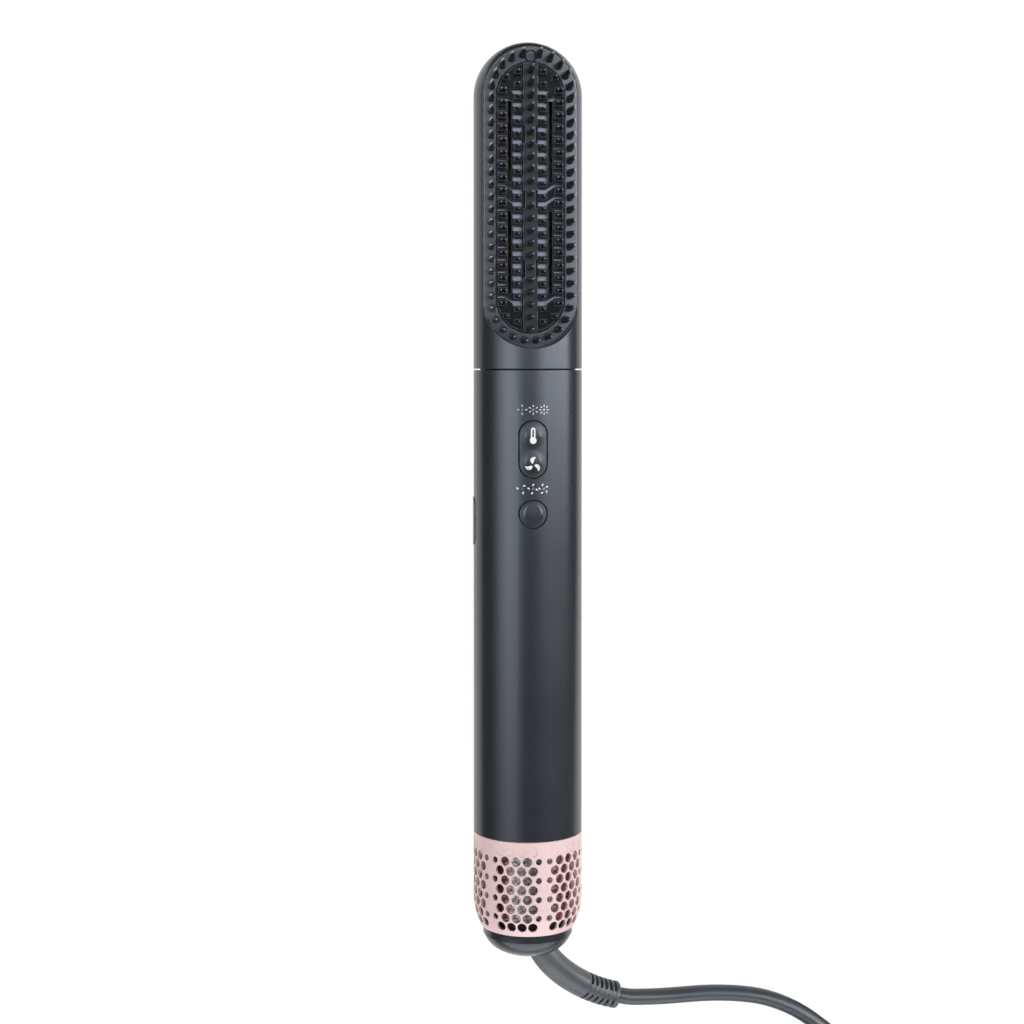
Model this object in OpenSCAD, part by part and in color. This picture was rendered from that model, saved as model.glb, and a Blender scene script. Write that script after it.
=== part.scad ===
// Hot air styler: a slim handle with fan motor, heater and keys, a pull-off brush head,
// a perforated intake sleeve and a mains lead.
// Pieces are drawn standing on the tail with the front towards -Y, and then laid on their back,
// so that brush and keys face up. The lead and its plug are drawn where they lie.

/* [Overall] */
// Outside radius of head, handle and sleeve
body_r = 20; // [19.5:0.1:22]
// Length of the brush head from the seam to the tip
head_len = 120; // [112:1:150]
// Height of the open groove between head and handle
seam_gap = 0.5; // [0.3:0.1:1]
// Length of the handle casing
handle_len = 169.8; // [166:0.1:200]
// Length of the perforated intake sleeve
sleeve_len = 34.7; // [33:0.1:45]
// Gap between the sleeve and the handle casing
sleeve_gap = 0.2; // [0.1:0.1:0.5]
// Height of the end dome below the sleeve
dome_h = 11.5; // [10.5:0.1:13]

/* [Casing walls] */
// Wall of the head casing
head_wall = 1.8; // [1.4:0.1:2]
// Wall of the handle casing
handle_wall = 2; // [1.6:0.1:2.1]
// Wall of the intake sleeve
sleeve_wall = 1; // [0.9:0.05:1.2]
// Wall of the end dome
dome_wall = 1.8; // [1.4:0.1:2.2]

/* [Fits] */
// Radial clearance of a running or plugged fit
slip = 0.05; // [0.03:0.01:0.08]
// Clearance of a moulded seat
seat = 0.3; // [0.2:0.05:0.4]

/* [Brush head] */
// Height of the brush flat in front of the axis
pad_h = 10; // [9.5:0.1:10.5]
// Distance from the seam to the centre of the flat's lower round end
pad_low = 24.8; // [24:0.1:30]
// Thickness of the plate that carries the outer bristles
rim_t = 1.2; // [1:0.1:1.4]
// Width of the casing's lip round that plate
rim_lip = 0.4; // [0.3:0.05:0.6]
// Half width of the comb insert
comb_w = 12.6; // [12.2:0.1:12.8]
// Pitch of the teeth along the head
comb_pitch = 4.53; // [4.4:0.01:4.6]
// Height of the rails and bars in front of the axis
bar_h = 8.8; // [8.4:0.1:9.4]
// Thickness of the heat plate
plate_t = 1; // [0.8:0.1:1.2]
// Half width of the centre ridge
ridge_w = 2.7; // [2.5:0.1:2.8]
// Distance of the air slots' middle from the centre line
slot_x = 7.5; // [7.4:0.1:7.6]
// Width of the air slots
slot_w = 1.4; // [1.2:0.1:2]

/* [Bristles] */
// Radius of a bristle's foot
bristle_r = 1.5; // [1.1:0.05:1.5]
// Radius of a bristle near its round end
tip_r = 0.85; // [0.6:0.05:0.95]
// Radius of a ridge bristle's foot
ridge_bristle_r = 1.3; // [1:0.05:1.5]
// Length of an outer bristle
bristle_len = 12.5; // [9:0.1:14]
// Length of a bristle on the centre ridge
ridge_len = 11.8; // [9:0.1:13]
// How far the outer bristles lean outwards in degrees
bristle_splay = 3; // [0:0.5:4]
// How far the bristles at the tip end lean towards it in degrees
bristle_lean = 2.5; // [0:0.5:3]
// Distance of the outer bristle row from the centre line
row_w = 14.4; // [14.4:0.05:14.9]
// Pitch of the outer bristles along the straight sides
row_pitch = 4.47; // [4.2:0.01:5]
// Number of outer bristles in each quarter of the round ends
end_count = 5; // [3:1:5]
// Number of bristles on the centre ridge
ridge_count = 22; // [16:1:22]

/* [Keys and lamps] */
// Distance from the seam down to the middle of the rocker key
rocker_down = 28.4; // [28:0.1:30]
// Width of the rocker key's opening
rocker_w = 10.6; // [10.2:0.1:11]
// Length of the rocker key's opening
rocker_l = 21.1; // [20.5:0.1:22]
// Tilt of the rocker key to each side in degrees
rocker_tilt = 2.5; // [1:0.5:2.5]
// Distance from the seam down to the power key
power_down = 51.7; // [51:0.1:54]
// Radius of the power key's opening
power_r = 5.3; // [4.8:0.1:5.5]
// Travel of the power key and the side key
key_travel = 0.4; // [0.2:0.05:0.45]
// Gap round the keys
key_gap = 0.45; // [0.3:0.05:0.45]
// Distance from the seam down to the upper row of lamps
lamps_up_down = 14.2; // [14:0.1:14.6]
// Distance from the seam down to the lower row of lamps
lamps_low_down = 42.5; // [42.4:0.1:43]
// Spacing of the lamps in a row
lamp_step = 3.95; // [3.6:0.05:4.2]
// Distance from the seam down to the middle of the side key
side_down = 55.4; // [55:0.1:57]
// Length of the side key
side_l = 17.7; // [15:0.1:18]
// Width of the side key
side_w = 6.4; // [5.5:0.1:7]
// Gap round the side key
side_gap = 0.1; // [0.08:0.02:0.3]
// How far the side key stands proud of the casing
side_proud = 0.26; // [0.1:0.02:0.5]

/* [Intake] */
// Number of rows of holes
hole_rows = 8; // [5:1:8]
// Distance between rows
hole_rise = 3.43; // [3.3:0.01:3.5]
// Angle between neighbouring holes of a row
hole_step = 12; // [11:0.5:12]
// Number of groups of holes round the sleeve
hole_groups = 6; // [4:1:6]
// Diameter of the large holes
hole_d = 3.4; // [2.4:0.1:3.5]
// Diameter of the small holes at a group's edges
small_d = 2.3; // [1.4:0.1:2.4]
// Height of the lowest row above the sleeve's lower edge
hole_low = 3.7; // [3.5:0.1:4.2]
// Turn of the hole pattern away from the keys in degrees
hole_turn = -18; // [-30:1:30]
// Turn that frees the sleeve's bayonet in degrees
sleeve_twist = 25; // [10:1:30]
// Radius of the curve at the sleeve's lower end
sleeve_curve = 22.55; // [22:0.05:24]
// Height of that curve
curve_h = 10.7; // [10.2:0.1:11]

/* [Fan motor] */
// Thickness of the rubber sleeve round the fan housing
mount_t = 3.8; // [3.4:0.1:4.2]
// Length of the fan housing
fan_len = 38; // [36:0.5:38]
// Number of impeller blades
fan_blades = 9; // [5:1:11]
// Number of fixed guide vanes
vane_count = 7; // [5:1:9]
// Width of the air gap between the motor's hub and the housing
air_gap = 4.1; // [3.9:0.1:4.5]
// Radius of the motor shaft
shaft_r = 1.25; // [1:0.05:1.4]

/* [Heater] */
// Room for boards and keys between the heater's duct and the casing
board_room = 5.6; // [5.5:0.1:6]
// Wall of the heater's duct
duct_wall = 0.7; // [0.5:0.1:1]
// Turns of the heating wire
heater_turns = 10; // [6:1:12]

/* [Lead and plug] */
// Diameter of the mains lead
cord_d = 6; // [5:0.5:6]
// Diameter of the strain relief
boot_d = 10; // [9:0.5:10.4]
// Number of slot pairs in the strain relief
boot_slots = 6; // [3:1:7]
// Distance between the slots of the strain relief
boot_pitch = 2.5; // [2:0.1:2.6]
// Diameter of the plug's pins
pin_d = 4.8; // [4:0.1:5]
// Distance between the plug's pins
pin_gap = 19; // [17:0.5:19.5]
// Length of the plug's pins
pin_len = 19; // [15:0.5:20]

/* [Hidden] */
$fn = 64;

// Levels along the styler, from the tail
sleeve_z = dome_h;
sleeve_top = sleeve_z + sleeve_len;
handle_z = sleeve_top + sleeve_gap;
seam_z = handle_z + handle_len;
head_z = seam_z + seam_gap;
total = head_z + head_len;

// Radii of the hollow casings
head_in = body_r - head_wall;
handle_in = body_r - handle_wall;
inside_r = handle_in - seat;
fan_wall = 0.7;
fan_r = inside_r - mount_t - seat - fan_wall;
hub_r = fan_r - air_gap;
duct_r = handle_in - board_room;

// Brush flat
flat_z = head_z + pad_low;
flat_top = total - body_r;
flat_r = sqrt(body_r * body_r - pad_h * pad_h);
flat_len = flat_top - flat_z;
rim_r = flat_r - rim_lip;
wall_y = pad_h - rim_t - head_wall;
comb_gap = 0.15;
comb_z = flat_z + 0.6;
comb_top = flat_top - 1;
comb_front = pad_h - 0.3;
comb_back = wall_y - 0.9;
flange_w = 1.4;
tooth_front = bar_h + 2.6;
nib_top = pad_h + 7.8;
boss_z = comb_top + comb_w + 2;
boss_r = 2.2;
cover_r = 1.6;
cover_t = 0.6;
screw_seat = comb_front - 2.1;
rail_w = 0.5;
channel_y = bar_h - 0.8;
inner_from = ridge_w + 0.25;
inner_to = slot_x - slot_w / 2 - rail_w;
outer_from = slot_x + slot_w / 2 + rail_w;
outer_to = comb_w - 0.7;
inner_open = 1.85;
outer_open = 0.75;
first_open = comb_top - 2.6;
last_open = floor((first_open - comb_z + 2) / comb_pitch);
corner_teeth_z = [first_open + 2.05 * comb_pitch, first_open - (last_open + 1.05) * comb_pitch];
slot_high = [comb_top - 31.2, comb_top - 1.2];
slot_low = [comb_z + 2, comb_z + 32];
ridge_z = [comb_z - comb_w + 0.45, comb_top + comb_w - 0.45];
ridge_screw_z = [for (f = [0.08, 0.36, 0.64, 0.92]) ridge_z[0] + f * (ridge_z[1] - ridge_z[0])];
ridge_notch_z = [for (f = [0.235, 0.495, 0.735]) ridge_z[0] + f * (ridge_z[1] - ridge_z[0])];

// Coupling between head and handle
spigot_len = 9.5;
mouth_wall = 1.4;
spigot_wall = 2;
spigot_r = handle_in - mouth_wall;
spigot_in = spigot_r - spigot_wall;
neck_r = handle_in - 0.4;
collar_len = pad_low - flat_r - head_wall - 1;
seal_r = 0.5;
mouth_low = head_z - spigot_len - 0.4 - 1.2 - 1.6;
grille_z = mouth_low + 1.6;

// Keys, measured in front of the axis
board_t = 1.2;
board_back = duct_r + 0.4;
board_front = board_back + board_t;
board_w = 8.9;
switch_top = board_front + 1.3;
stem_y = switch_top + 0.5;
key_back = switch_top + 1.1;
board_z = seam_z - 63.8;
board_top = mouth_low - 0.6;
rocker_z = seam_z - rocker_down;
power_z = seam_z - power_down;
side_z = seam_z - side_down;
lamps_up = seam_z - lamps_up_down;
lamps_low = seam_z - lamps_low_down;
rocker_foot = 6.5;
pivot_y = board_front + 1.3;
pivot_r = 0.6;
lug_x = 5.5;

// Chassis rings, from the tail
ring_1 = handle_z + 50.5;
ring_2 = board_z - 4.5;
ring_3 = mouth_low - 3;
ring_t = 2;
rail_x = board_w - 0.6;
strut_t = 2.2;
rail_out = board_w + 1.1;
driver_z = ring_1 + 9;
driver_top = ring_2 - 3;

// Fan and motor, from the tail
fan_z = handle_z + 9.5;
hub_z = fan_z + 16;
hub_top = fan_z + fan_len - 2;
bearing_r = 4;
bearing_h = 3;

// Duct and heater
duct_z = fan_z + fan_len + seat;
duct_top = mouth_low - seat;
duct_in = duct_r - duct_wall;
wire_r = 0.45;
coil_in = duct_in - 1.5;
mica_w = coil_in - wire_r - 0.35;
mica_len = 72;
mica_top = duct_top - 12;
mica_z = mica_top - mica_len;

// Intake parts
cage_room = 2.9;
cage_wall = 1;
cage_out = body_r - sleeve_wall - cage_room;
cage_in = cage_out - cage_wall;
cage_z = dome_h;
mesh_t = 0.35;
lug_r = body_r - sleeve_wall - seat;
lug_z = sleeve_top - 2.1;
lug_angle = 14;
dome_r = body_r - sleeve_curve + sqrt(pow(sleeve_curve - sleeve_wall, 2) - curve_h * curve_h) + 0.4;
dome_knuckle = 9;
spigot_d_in = cage_in - slip - 1.45;

// Route of the lead, measured from the tail: X to the right, Y along the styler, Z up from the
// surface. The strain relief leaves the dome straight and then bends down to its end.
boot_root = [0, 9.5, body_r];
boot_way = unit([0.53, -0.837, -0.14]);
boot_pull = [9, 12.5];
boot_end = [36, -22, 5.3];
boot_roll = -11;
cord_way = unit([0.975, -0.205, -0.08]);

// Coil: two layers that spiral in and out again, clockwise seen from above
coil_x = 103;
coil_y = -93;
coil_step = cord_d + 0.8;
coil_rise = cord_d + 0.5;
coil_r_in = 4 * cord_d;
coil_start = 45;
coil_turns = 7.375;
tie_angle = 180;
tie_t = 0.6;
tie_w = 6;
tie_lift = tie_t + 0.3;

function coil_radius(turn) = let (away = abs(turn - coil_turns / 2), soft = 0.25)
  coil_r_in + coil_step * (away > soft ? away : (away * away / soft + soft) / 2);
function coil_height(turn) = let (f = (turn - coil_turns / 2 + 0.25) * 2)
  cord_d / 2 + coil_rise * (f < 0 ? 0 : f > 1 ? 1 : (1 - cos(180 * f)) / 2);
function coil_lift(angle) = let (off = abs((angle - tie_angle + 3780) % 360 - 180))
  off > 40 ? 0 : tie_lift * pow(cos(off * 90 / 40), 2);
function coil_point(turn) = let (a = coil_start - 360 * turn)
  [coil_x + coil_radius(turn) * cos(a), coil_y + coil_radius(turn) * sin(a),
   coil_height(turn) + coil_lift(a)];

coil_rings = round(coil_turns * 24);
coil_turn = [for (i = [0 : coil_rings]) coil_point(i * coil_turns / coil_rings)];
coil_way = unit([sin(coil_start), -cos(coil_start), 0]);
coil_join = coil_turn[0] - 8 * coil_way;
coil_out = coil_turn[coil_rings];
plug_entry = [coil_out[0] - 25, coil_out[1], 13];
coil_path = concat([coil_join], coil_turn, [
  coil_out + [-6, 0, 0.3], coil_out + [-11, 0, 1.7], coil_out + [-15.5, 0, 3.1],
  [coil_out[0] - 18.5, coil_out[1], 13], plug_entry
]);

// Distance between a point of the coil and one of its straight pieces
function apart(p, j) = let (a = coil_turn[j], d = coil_turn[j + 1] - a,
    f = max(0, min(1, (p - a) * d / (d * d)))) norm(p - a - f * d);

tie_turns = [for (n = [0 : 6]) coil_radius((coil_start - tie_angle + 360) / 360 + n)];
tie_x = [coil_x - max(tie_turns) - cord_d / 2 - 0.4, coil_x - min(tie_turns) + cord_d / 2 + 0.4];
tie_top = cord_d + coil_rise + tie_lift + 0.2;

lead_route = [
  boot_end, boot_end + 5 * cord_way, [47.5, -23.5, 4.1], [54, -23.7, 3.4], [61, -23.5, 3.1],
  [69, -23.2, 3], [77, -23.3, 3], [86, -24.1, 3], [94, -25.7, 3], [102, -28.7, 3], [109, -32.6, 3],
  [115, -37, 3], [120.8, -41.7, 3], [125.4, -45.9, 3], coil_join - 5 * coil_way, coil_join
];

plug_relief = 22;
plug_len = 38;

// Laid on its back: the tail end lies at -total/2
module laid() translate([0, -total / 2, body_r]) rotate([-90, 0, 0]) children();

// The lead and what is on it, measured from the tail
module from_tail() translate([0, -total / 2, 0]) children();

module pipe(r_out, r_in, z0, z1) translate([0, 0, z0]) linear_extrude(z1 - z0) difference() {
  circle(r_out);
  circle(r_in);
}

module rod(r, z0, z1) translate([0, 0, z0]) cylinder(r = r, h = z1 - z0);

// A plate across the front: its outline is X and Z, and it reaches from one distance in front
// of the axis to another
module facing(y_back, y_front) translate([0, -y_back, 0]) rotate([90, 0, 0])
  linear_extrude(y_front - y_back) children();

// A round pin that points to the front
module front_pin(r, x, z, y_back, y_front) translate([x, -y_back, z]) rotate([90, 0, 0])
  cylinder(r = r, h = y_front - y_back);

module stadium(w, z0, z1) {
  translate([0, z0]) circle(w);
  translate([0, z1]) circle(w);
  translate([-w, z0]) square([2 * w, z1 - z0]);
}

// Swept tubes: each ring stands square to the path, and its points are counted from the side
// that faces away from a level direction
function unit(v) = v / norm(v);
function ways(p, first, last) = [for (i = [0 : len(p) - 1]) i == 0 ? first : i == len(p) - 1 ? last :
  unit(p[i + 1] - p[i - 1])];

module sweep(path, way, radii, sides, level) {
  rings = len(path);
  points = [for (i = [0 : rings - 1]) let (s = unit(cross(level, way[i])), n = cross(way[i], s))
    for (k = [0 : sides - 1]) path[i] + radii[i] * (cos(90 + 360 * k / sides) * s
      + sin(90 + 360 * k / sides) * n)];
  skin = [for (i = [0 : rings - 2], k = [0 : sides - 1]) let (
      a = i * sides + k, b = i * sides + (k + 1) % sides, c = a + sides, d = b + sides)
    each [[a, c, d], [a, d, b]]];
  near = [for (k = [1 : sides - 2]) [0, k, k + 1]];
  last = (rings - 1) * sides;
  far = [for (k = [1 : sides - 2]) [last, last + k + 1, last + k]];
  polyhedron(points, concat(skin, near, far));
}

// Brush head

module flat_cut(grow) {
  translate([0, flat_z]) circle(flat_r + 0.3 + grow);
  translate([-2 * body_r, flat_z]) square([4 * body_r, head_len]);
}

module comb_outline(grow) {
  stadium(comb_w + grow, comb_z, comb_top);
  translate([0, boss_z]) circle(boss_r + grow);
}

module head_hollow() difference() {
  union() {
    rod(head_in, head_z - 1, flat_top);
    translate([0, 0, flat_top]) sphere(head_in);
  }
  facing(wall_y, 2 * body_r) flat_cut(head_wall);
  front_pin(boss_r, 0, boss_z, -body_r, comb_back - 0.2);
}

module head_shell() color("#34383c") difference() {
  union() {
    rod(body_r, head_z, flat_top);
    translate([0, 0, flat_top]) sphere(body_r);
  }
  head_hollow();
  facing(pad_h, 2 * body_r) flat_cut(0);
  facing(pad_h - rim_t, pad_h + 1) stadium(rim_r + 0.1, flat_z, flat_top);
  facing(wall_y - 1, pad_h) comb_outline(comb_gap);
  front_pin(0.82, 0, boss_z, comb_back - 9, comb_back + 1);
}

// A moulded bristle that stands on the brush flat: a slim taper with a round end. It leans towards
// the tip the nearer it stands to it, and its foot is lifted clear of the flat by that lean.
module bristle(x, z, foot, length, splay) {
  lean = bristle_lean * (z - flat_z - 20) / (flat_len - 20);
  lift = foot * sin(norm([lean, splay])) + 0.01;
  translate([x, -pad_h - lift, z]) rotate([90, 0, 0]) rotate([-lean, splay, 0])
    rotate_extrude($fn = 20) polygon([[0, 0], [foot, 0], [tip_r, length - 0.75 * tip_r],
      [tip_r * 0.82, length - 0.3 * tip_r], [tip_r * 0.45, length], [0, length]]);
}

// Places of the outer bristles on the right side: up the lower round end, along the straight side
// and up the upper round end, where the tip's boss leaves a wider gap
row_side = floor(flat_len / row_pitch) + 1;
low_step = 90 / (end_count + 0.1);
high_step = 90 / (end_count + 0.3);
row_places = concat(
  [for (i = [0 : end_count - 1]) let (a = (i + 0.5) * low_step)
    [row_w * sin(a), flat_z - row_w * cos(a)]],
  [for (i = [0 : row_side - 1]) [row_w, (flat_z + flat_top) / 2 + (i - (row_side - 1) / 2) * row_pitch]],
  [for (i = [0 : end_count - 1]) let (a = (i + 0.6) * high_step)
    [row_w * cos(a), flat_top + row_w * sin(a)]]
);

module bristle_rim() color("#2c2f32") facing(pad_h - rim_t, pad_h) difference() {
  stadium(rim_r, flat_z, flat_top);
  comb_outline(comb_gap + 0.1);
}

module rim_bristles() color("#2c2f32") for (side = [-1, 1], at = row_places)
  bristle(side * at[0], at[1], bristle_r, bristle_len, side * bristle_splay * at[0] / row_w);

// Outlines of the comb, seen from the front

module pair() for (side = [0, 1]) mirror([side, 0, 0]) children();

module comb_openings() {
  pair() {
    for (k = [-1 : last_open]) translate([inner_from, first_open - k * comb_pitch - inner_open / 2])
      square([inner_to - inner_from, inner_open]);
    for (k = [-1 : last_open - 1])
      translate([outer_from, first_open - (k + 0.5) * comb_pitch - outer_open / 2])
        square([outer_to - outer_from, outer_open]);
    for (span = [slot_high, slot_low]) translate([slot_x - slot_w / 2, span[0]])
      square([slot_w, span[1] - span[0]]);
    // Slanting links between the two rows of gaps, where the long slots leave off
    for (k = [6, 7, last_open - 1])
      let (out = first_open - (k + 0.5) * comb_pitch, in = first_open - (k + 1) * comb_pitch)
        polygon([[inner_to - 0.5, in - 0.5], [outer_from + 0.5, out - outer_open / 2],
          [outer_from + 0.5, out + outer_open / 2], [inner_to - 0.5, in + 0.6]]);
    polygon([[inner_to - 0.5, first_open + comb_pitch - 0.6], [slot_x, first_open + comb_pitch + 0.3],
      [slot_x, first_open + comb_pitch + 0.8], [inner_to - 0.5, first_open + comb_pitch + 0.7]]);
    polygon([[slot_x - 0.9, slot_high[1] - 0.3], [outer_from + 0.3, slot_high[1] - 0.3],
      [outer_from + 0.3, first_open + comb_pitch / 2 + outer_open / 2],
      [slot_x - 0.9, slot_high[1] + 0.4]]);
  }
  for (z = ridge_screw_z) translate([0, z]) circle(1.3);
}

module ridge_outline(grow) intersection() {
  translate([-ridge_w - grow, comb_z - comb_w]) square([2 * (ridge_w + grow), head_len]);
  stadium(comb_w - 0.45 + grow, comb_z, comb_top);
}

module tooth_outlines() pair() {
  for (k = [-2 : last_open + 2]) translate([(inner_from + inner_to) / 2 - 1.3,
      first_open + (0.5 - k) * comb_pitch - 0.85]) square([2.6, 1.7]);
  for (k = [-1 : last_open]) translate([(outer_from + outer_to) / 2 - 1.5,
      first_open - k * comb_pitch - 1.1]) square([3, 2.2]);
  for (z = corner_teeth_z) translate([slot_x + 0.2, z - 1]) square([2.4, 2]);
}

module comb_insert() color("#141618") {
  difference() {
    union() {
      facing(comb_back, wall_y - 0.1) stadium(comb_w + flange_w, comb_z, comb_top);
      facing(comb_back, bar_h) comb_outline(0);
      facing(bar_h - 0.1, comb_front) difference() {
        comb_outline(0);
        stadium(comb_w - 0.7, comb_z, comb_top);
      }
    }
    facing(comb_back - 1, comb_front + 1) comb_openings();
    facing(channel_y, comb_front + 1) ridge_outline(0.25);
    front_pin(cover_r + 0.1, 0, boss_z, comb_front - cover_t, comb_front + 1);
    front_pin(1.3, 0, boss_z, screw_seat, comb_front);
    front_pin(0.9, 0, boss_z, comb_back - 1, comb_front);
  }
  facing(bar_h - 0.1, tooth_front) tooth_outlines();
}

module nib(x, z) translate([x, -tooth_front, z]) rotate([90, 0, 0]) rotate_extrude($fn = 16)
  polygon([[0, 0], [0.66, 0], [0.48, 0.9], [0.46, nib_top - tooth_front - 0.35],
    [0.3, nib_top - tooth_front], [0, nib_top - tooth_front]]);

module comb_nibs() color("#141618") for (side = [-1, 1]) {
  for (k = [-2 : last_open + 2])
    nib(side * (inner_from + inner_to) / 2, first_open + (0.5 - k) * comb_pitch);
  for (k = [-1 : last_open], x = [-0.8, 0.8])
    nib(side * ((outer_from + outer_to) / 2 + x), first_open - k * comb_pitch);
  for (z = corner_teeth_z) nib(side * (slot_x + 1.4), z);
}

module centre_ridge() color("#3c4044") difference() {
  facing(channel_y, pad_h) difference() {
    ridge_outline(0);
    // Notches for the comb's snap hooks
    for (z = ridge_notch_z) pair() translate([ridge_w - 0.8, z - 3.3]) square([2, 6.6]);
  }
  for (z = ridge_screw_z) front_pin(1.12, 0, z, channel_y - 1, pad_h - 0.7);
}

ridge_pitch = (ridge_z[1] - ridge_z[0] - 4.2) / (ridge_count - 1);

module ridge_bristles() color("#3c4044") for (k = [0 : ridge_count - 1])
  bristle(0, ridge_z[0] + 1.3 + k * ridge_pitch, ridge_bristle_r, ridge_len, 0);

module heat_plate() color("#9a9ca6") facing(comb_back - plate_t, comb_back) difference() {
  stadium(comb_w + 1, comb_z, comb_top);
  pair() for (span = [slot_high, slot_low]) translate([slot_x - slot_w / 2, span[0]])
    square([slot_w, span[1] - span[0]]);
  for (z = ridge_screw_z) translate([0, z]) circle(1.3);
  translate([0, boss_z]) circle(boss_r + 0.3);
}

module ridge_screws() color("silver") for (z = ridge_screw_z) {
  front_pin(1.1, 0, z, comb_back - plate_t - 0.1, pad_h - 0.9);
  front_pin(2, 0, z, comb_back - plate_t - 1.3, comb_back - plate_t);
}

module tip_cover() color("#3a3e42") front_pin(cover_r, 0, boss_z, comb_front - cover_t, comb_front);

module tip_screw() color("silver") {
  front_pin(1.2, 0, boss_z, screw_seat, screw_seat + 1.2);
  front_pin(0.8, 0, boss_z, comb_back - 7, screw_seat + 0.1);
}

module head_liner() color("#b8b09c") intersection() {
  pipe(head_in - seat, head_in - seat - 0.8, head_z + 5, flat_top);
  translate([-body_r, 2, 0]) cube([2 * body_r, body_r, total]);
}

module head_spigot() color("#202326") rotate_extrude() difference() {
  union() {
    translate([spigot_in, head_z - spigot_len]) square([spigot_r - spigot_in, spigot_len + collar_len]);
    translate([spigot_in, seam_z + slip]) square([neck_r - spigot_in, seam_gap]);
    translate([spigot_in, head_z]) square([head_in - slip - spigot_in, collar_len]);
  }
  translate([spigot_r - seal_r, head_z - spigot_len + 4]) circle(seal_r + slip, $fn = 32);
  translate([spigot_r - seal_r, head_z - spigot_len + 4 - seal_r - slip])
    square([seal_r + 1, 2 * (seal_r + slip)]);
}

module head_seal() color("#7a2f2a") rotate_extrude()
  translate([spigot_r - seal_r, head_z - spigot_len + 4]) circle(seal_r, $fn = 32);

// Handle

module rocker_outline(grow) stadium(rocker_w / 2 + grow, rocker_z - rocker_l / 2 + rocker_w / 2,
  rocker_z + rocker_l / 2 - rocker_w / 2);

module side_outline(grow) stadium(side_w / 2 + grow, side_z - side_l / 2 + side_w / 2,
  side_z + side_l / 2 - side_w / 2);

module lamp_places() for (z = [lamps_up, lamps_low], i = [-1 : 1]) translate([i * lamp_step, 0, z])
  children();

module handle_shell() color("#3a3f44") difference() {
  pipe(body_r, handle_in, handle_z, seam_z);
  facing(handle_in - 3, 2 * body_r) rocker_outline(0);
  front_pin(power_r, 0, power_z, handle_in - 3, 2 * body_r);
  rotate([0, 0, -90]) facing(handle_in - 3, 2 * body_r) side_outline(side_gap);
  lamp_places() front_pin(0.6, 0, 0, handle_in - 3, 2 * body_r);
}

module mouth_ring() color("#202326") {
  difference() {
    pipe(handle_in - slip, spigot_r + slip, mouth_low, seam_z);
    rod(spigot_r + 0.2, grille_z - 0.1, grille_z + 1.4);
  }
  pipe(spigot_r + 0.4, duct_r + 0.4, mouth_low, grille_z);
}

module outlet_grille() color("#5b5f63") {
  for (r = [3, 7, 11]) pipe(r + 0.5, r - 0.5, grille_z, grille_z + 1.2);
  pipe(spigot_r - 0.1, spigot_in, grille_z, grille_z + 1.2);
  for (a = [0 : 45 : 315]) rotate([0, 0, a]) translate([2.8, -0.5, grille_z]) cube([spigot_in - 2.4, 1, 1.2]);
}

module curved_cap(r) intersection() {
  children();
  rod(r, 0, total);
}

module rocker_key() color("#3f4449") difference() {
  union() {
    curved_cap(body_r - 0.05) facing(key_back, 2 * body_r) rocker_outline(-key_gap);
    facing(pivot_y - 0.7, key_back + 0.5) translate([-lug_x + 0.2, rocker_z - 1.3])
      square([2 * lug_x - 0.4, 2.6]);
    for (side = [-1, 1]) front_pin(1.4, 0, rocker_z + side * rocker_foot, stem_y, key_back + 0.5);
  }
  for (side = [-1, 1]) translate([0, -body_r - 7.4, rocker_z + side * 4.7]) sphere(8);
  translate([-lug_x, -pivot_y, rocker_z]) rotate([0, 90, 0]) cylinder(r = pivot_r + slip, h = 2 * lug_x);
}

module rocker_pin() color("silver") translate([-lug_x - 1.1, -pivot_y, rocker_z]) rotate([0, 90, 0])
  cylinder(r = pivot_r, h = 2 * lug_x + 2.2);

module key_carrier() color("#55595d") difference() {
  union() {
    facing(board_front, board_front + 0.6) difference() {
      translate([-lug_x - 1.2, rocker_z - 10]) square([2 * lug_x + 2.4, 20]);
      translate([-lug_x, rocker_z - 8.8]) square([2 * lug_x, 17.6]);
    }
    pair() facing(board_front + 0.3, pivot_y + 1.05) translate([lug_x, rocker_z - 1.6]) square([1.2, 3.2]);
  }
  translate([-2 * lug_x, -pivot_y, rocker_z]) rotate([0, 90, 0])
    cylinder(r = pivot_r + 0.02, h = 4 * lug_x);
}

module power_key() color("#3f4449") difference() {
  union() {
    curved_cap(body_r - 0.05) front_pin(power_r - key_gap, 0, power_z, key_back - 0.1, 2 * body_r);
    front_pin(power_r + 0.5, 0, power_z, key_back - 0.1, key_back + 0.4);
    front_pin(1.5, 0, power_z, stem_y, key_back);
  }
  translate([0, -body_r - 11.4, power_z]) sphere(12);
}

module side_key() color("#3f4449") rotate([0, 0, -90]) {
  curved_cap(body_r + side_proud) facing(key_back - 0.1, 2 * body_r) side_outline(0);
  facing(key_back - 0.1, key_back + 0.4) side_outline(0.8);
  front_pin(1.5, 0, side_z, stem_y, key_back);
}

module light_guide() color("#bcd4ec") {
  for (z = [lamps_up, lamps_low]) facing(board_front + 1, board_front + 2.7)
    translate([-5.4, z - 1.3]) square([10.8, 2.6]);
  curved_cap(body_r - 0.05) lamp_places() front_pin(0.5, 0, 0, board_front + 2, body_r);
}

module indicator_lamps() color("#dfe8f4") lamp_places()
  translate([-0.8, -board_front - 0.7, -0.4]) cube([1.6, 0.7, 0.8]);

module control_board() color("#1f5a3c") facing(board_back, board_front) difference() {
  translate([-board_w, board_z]) square([2 * board_w, board_top - board_z]);
  for (side = [-1, 1]) translate([side * 6.2, board_z + 4]) circle(0.8);
}

module tact_switch(z) {
  facing(board_front, board_front + 1) translate([-2, z - 2]) square(4);
  front_pin(0.9, 0, z, board_front + 1, switch_top);
}

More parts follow.
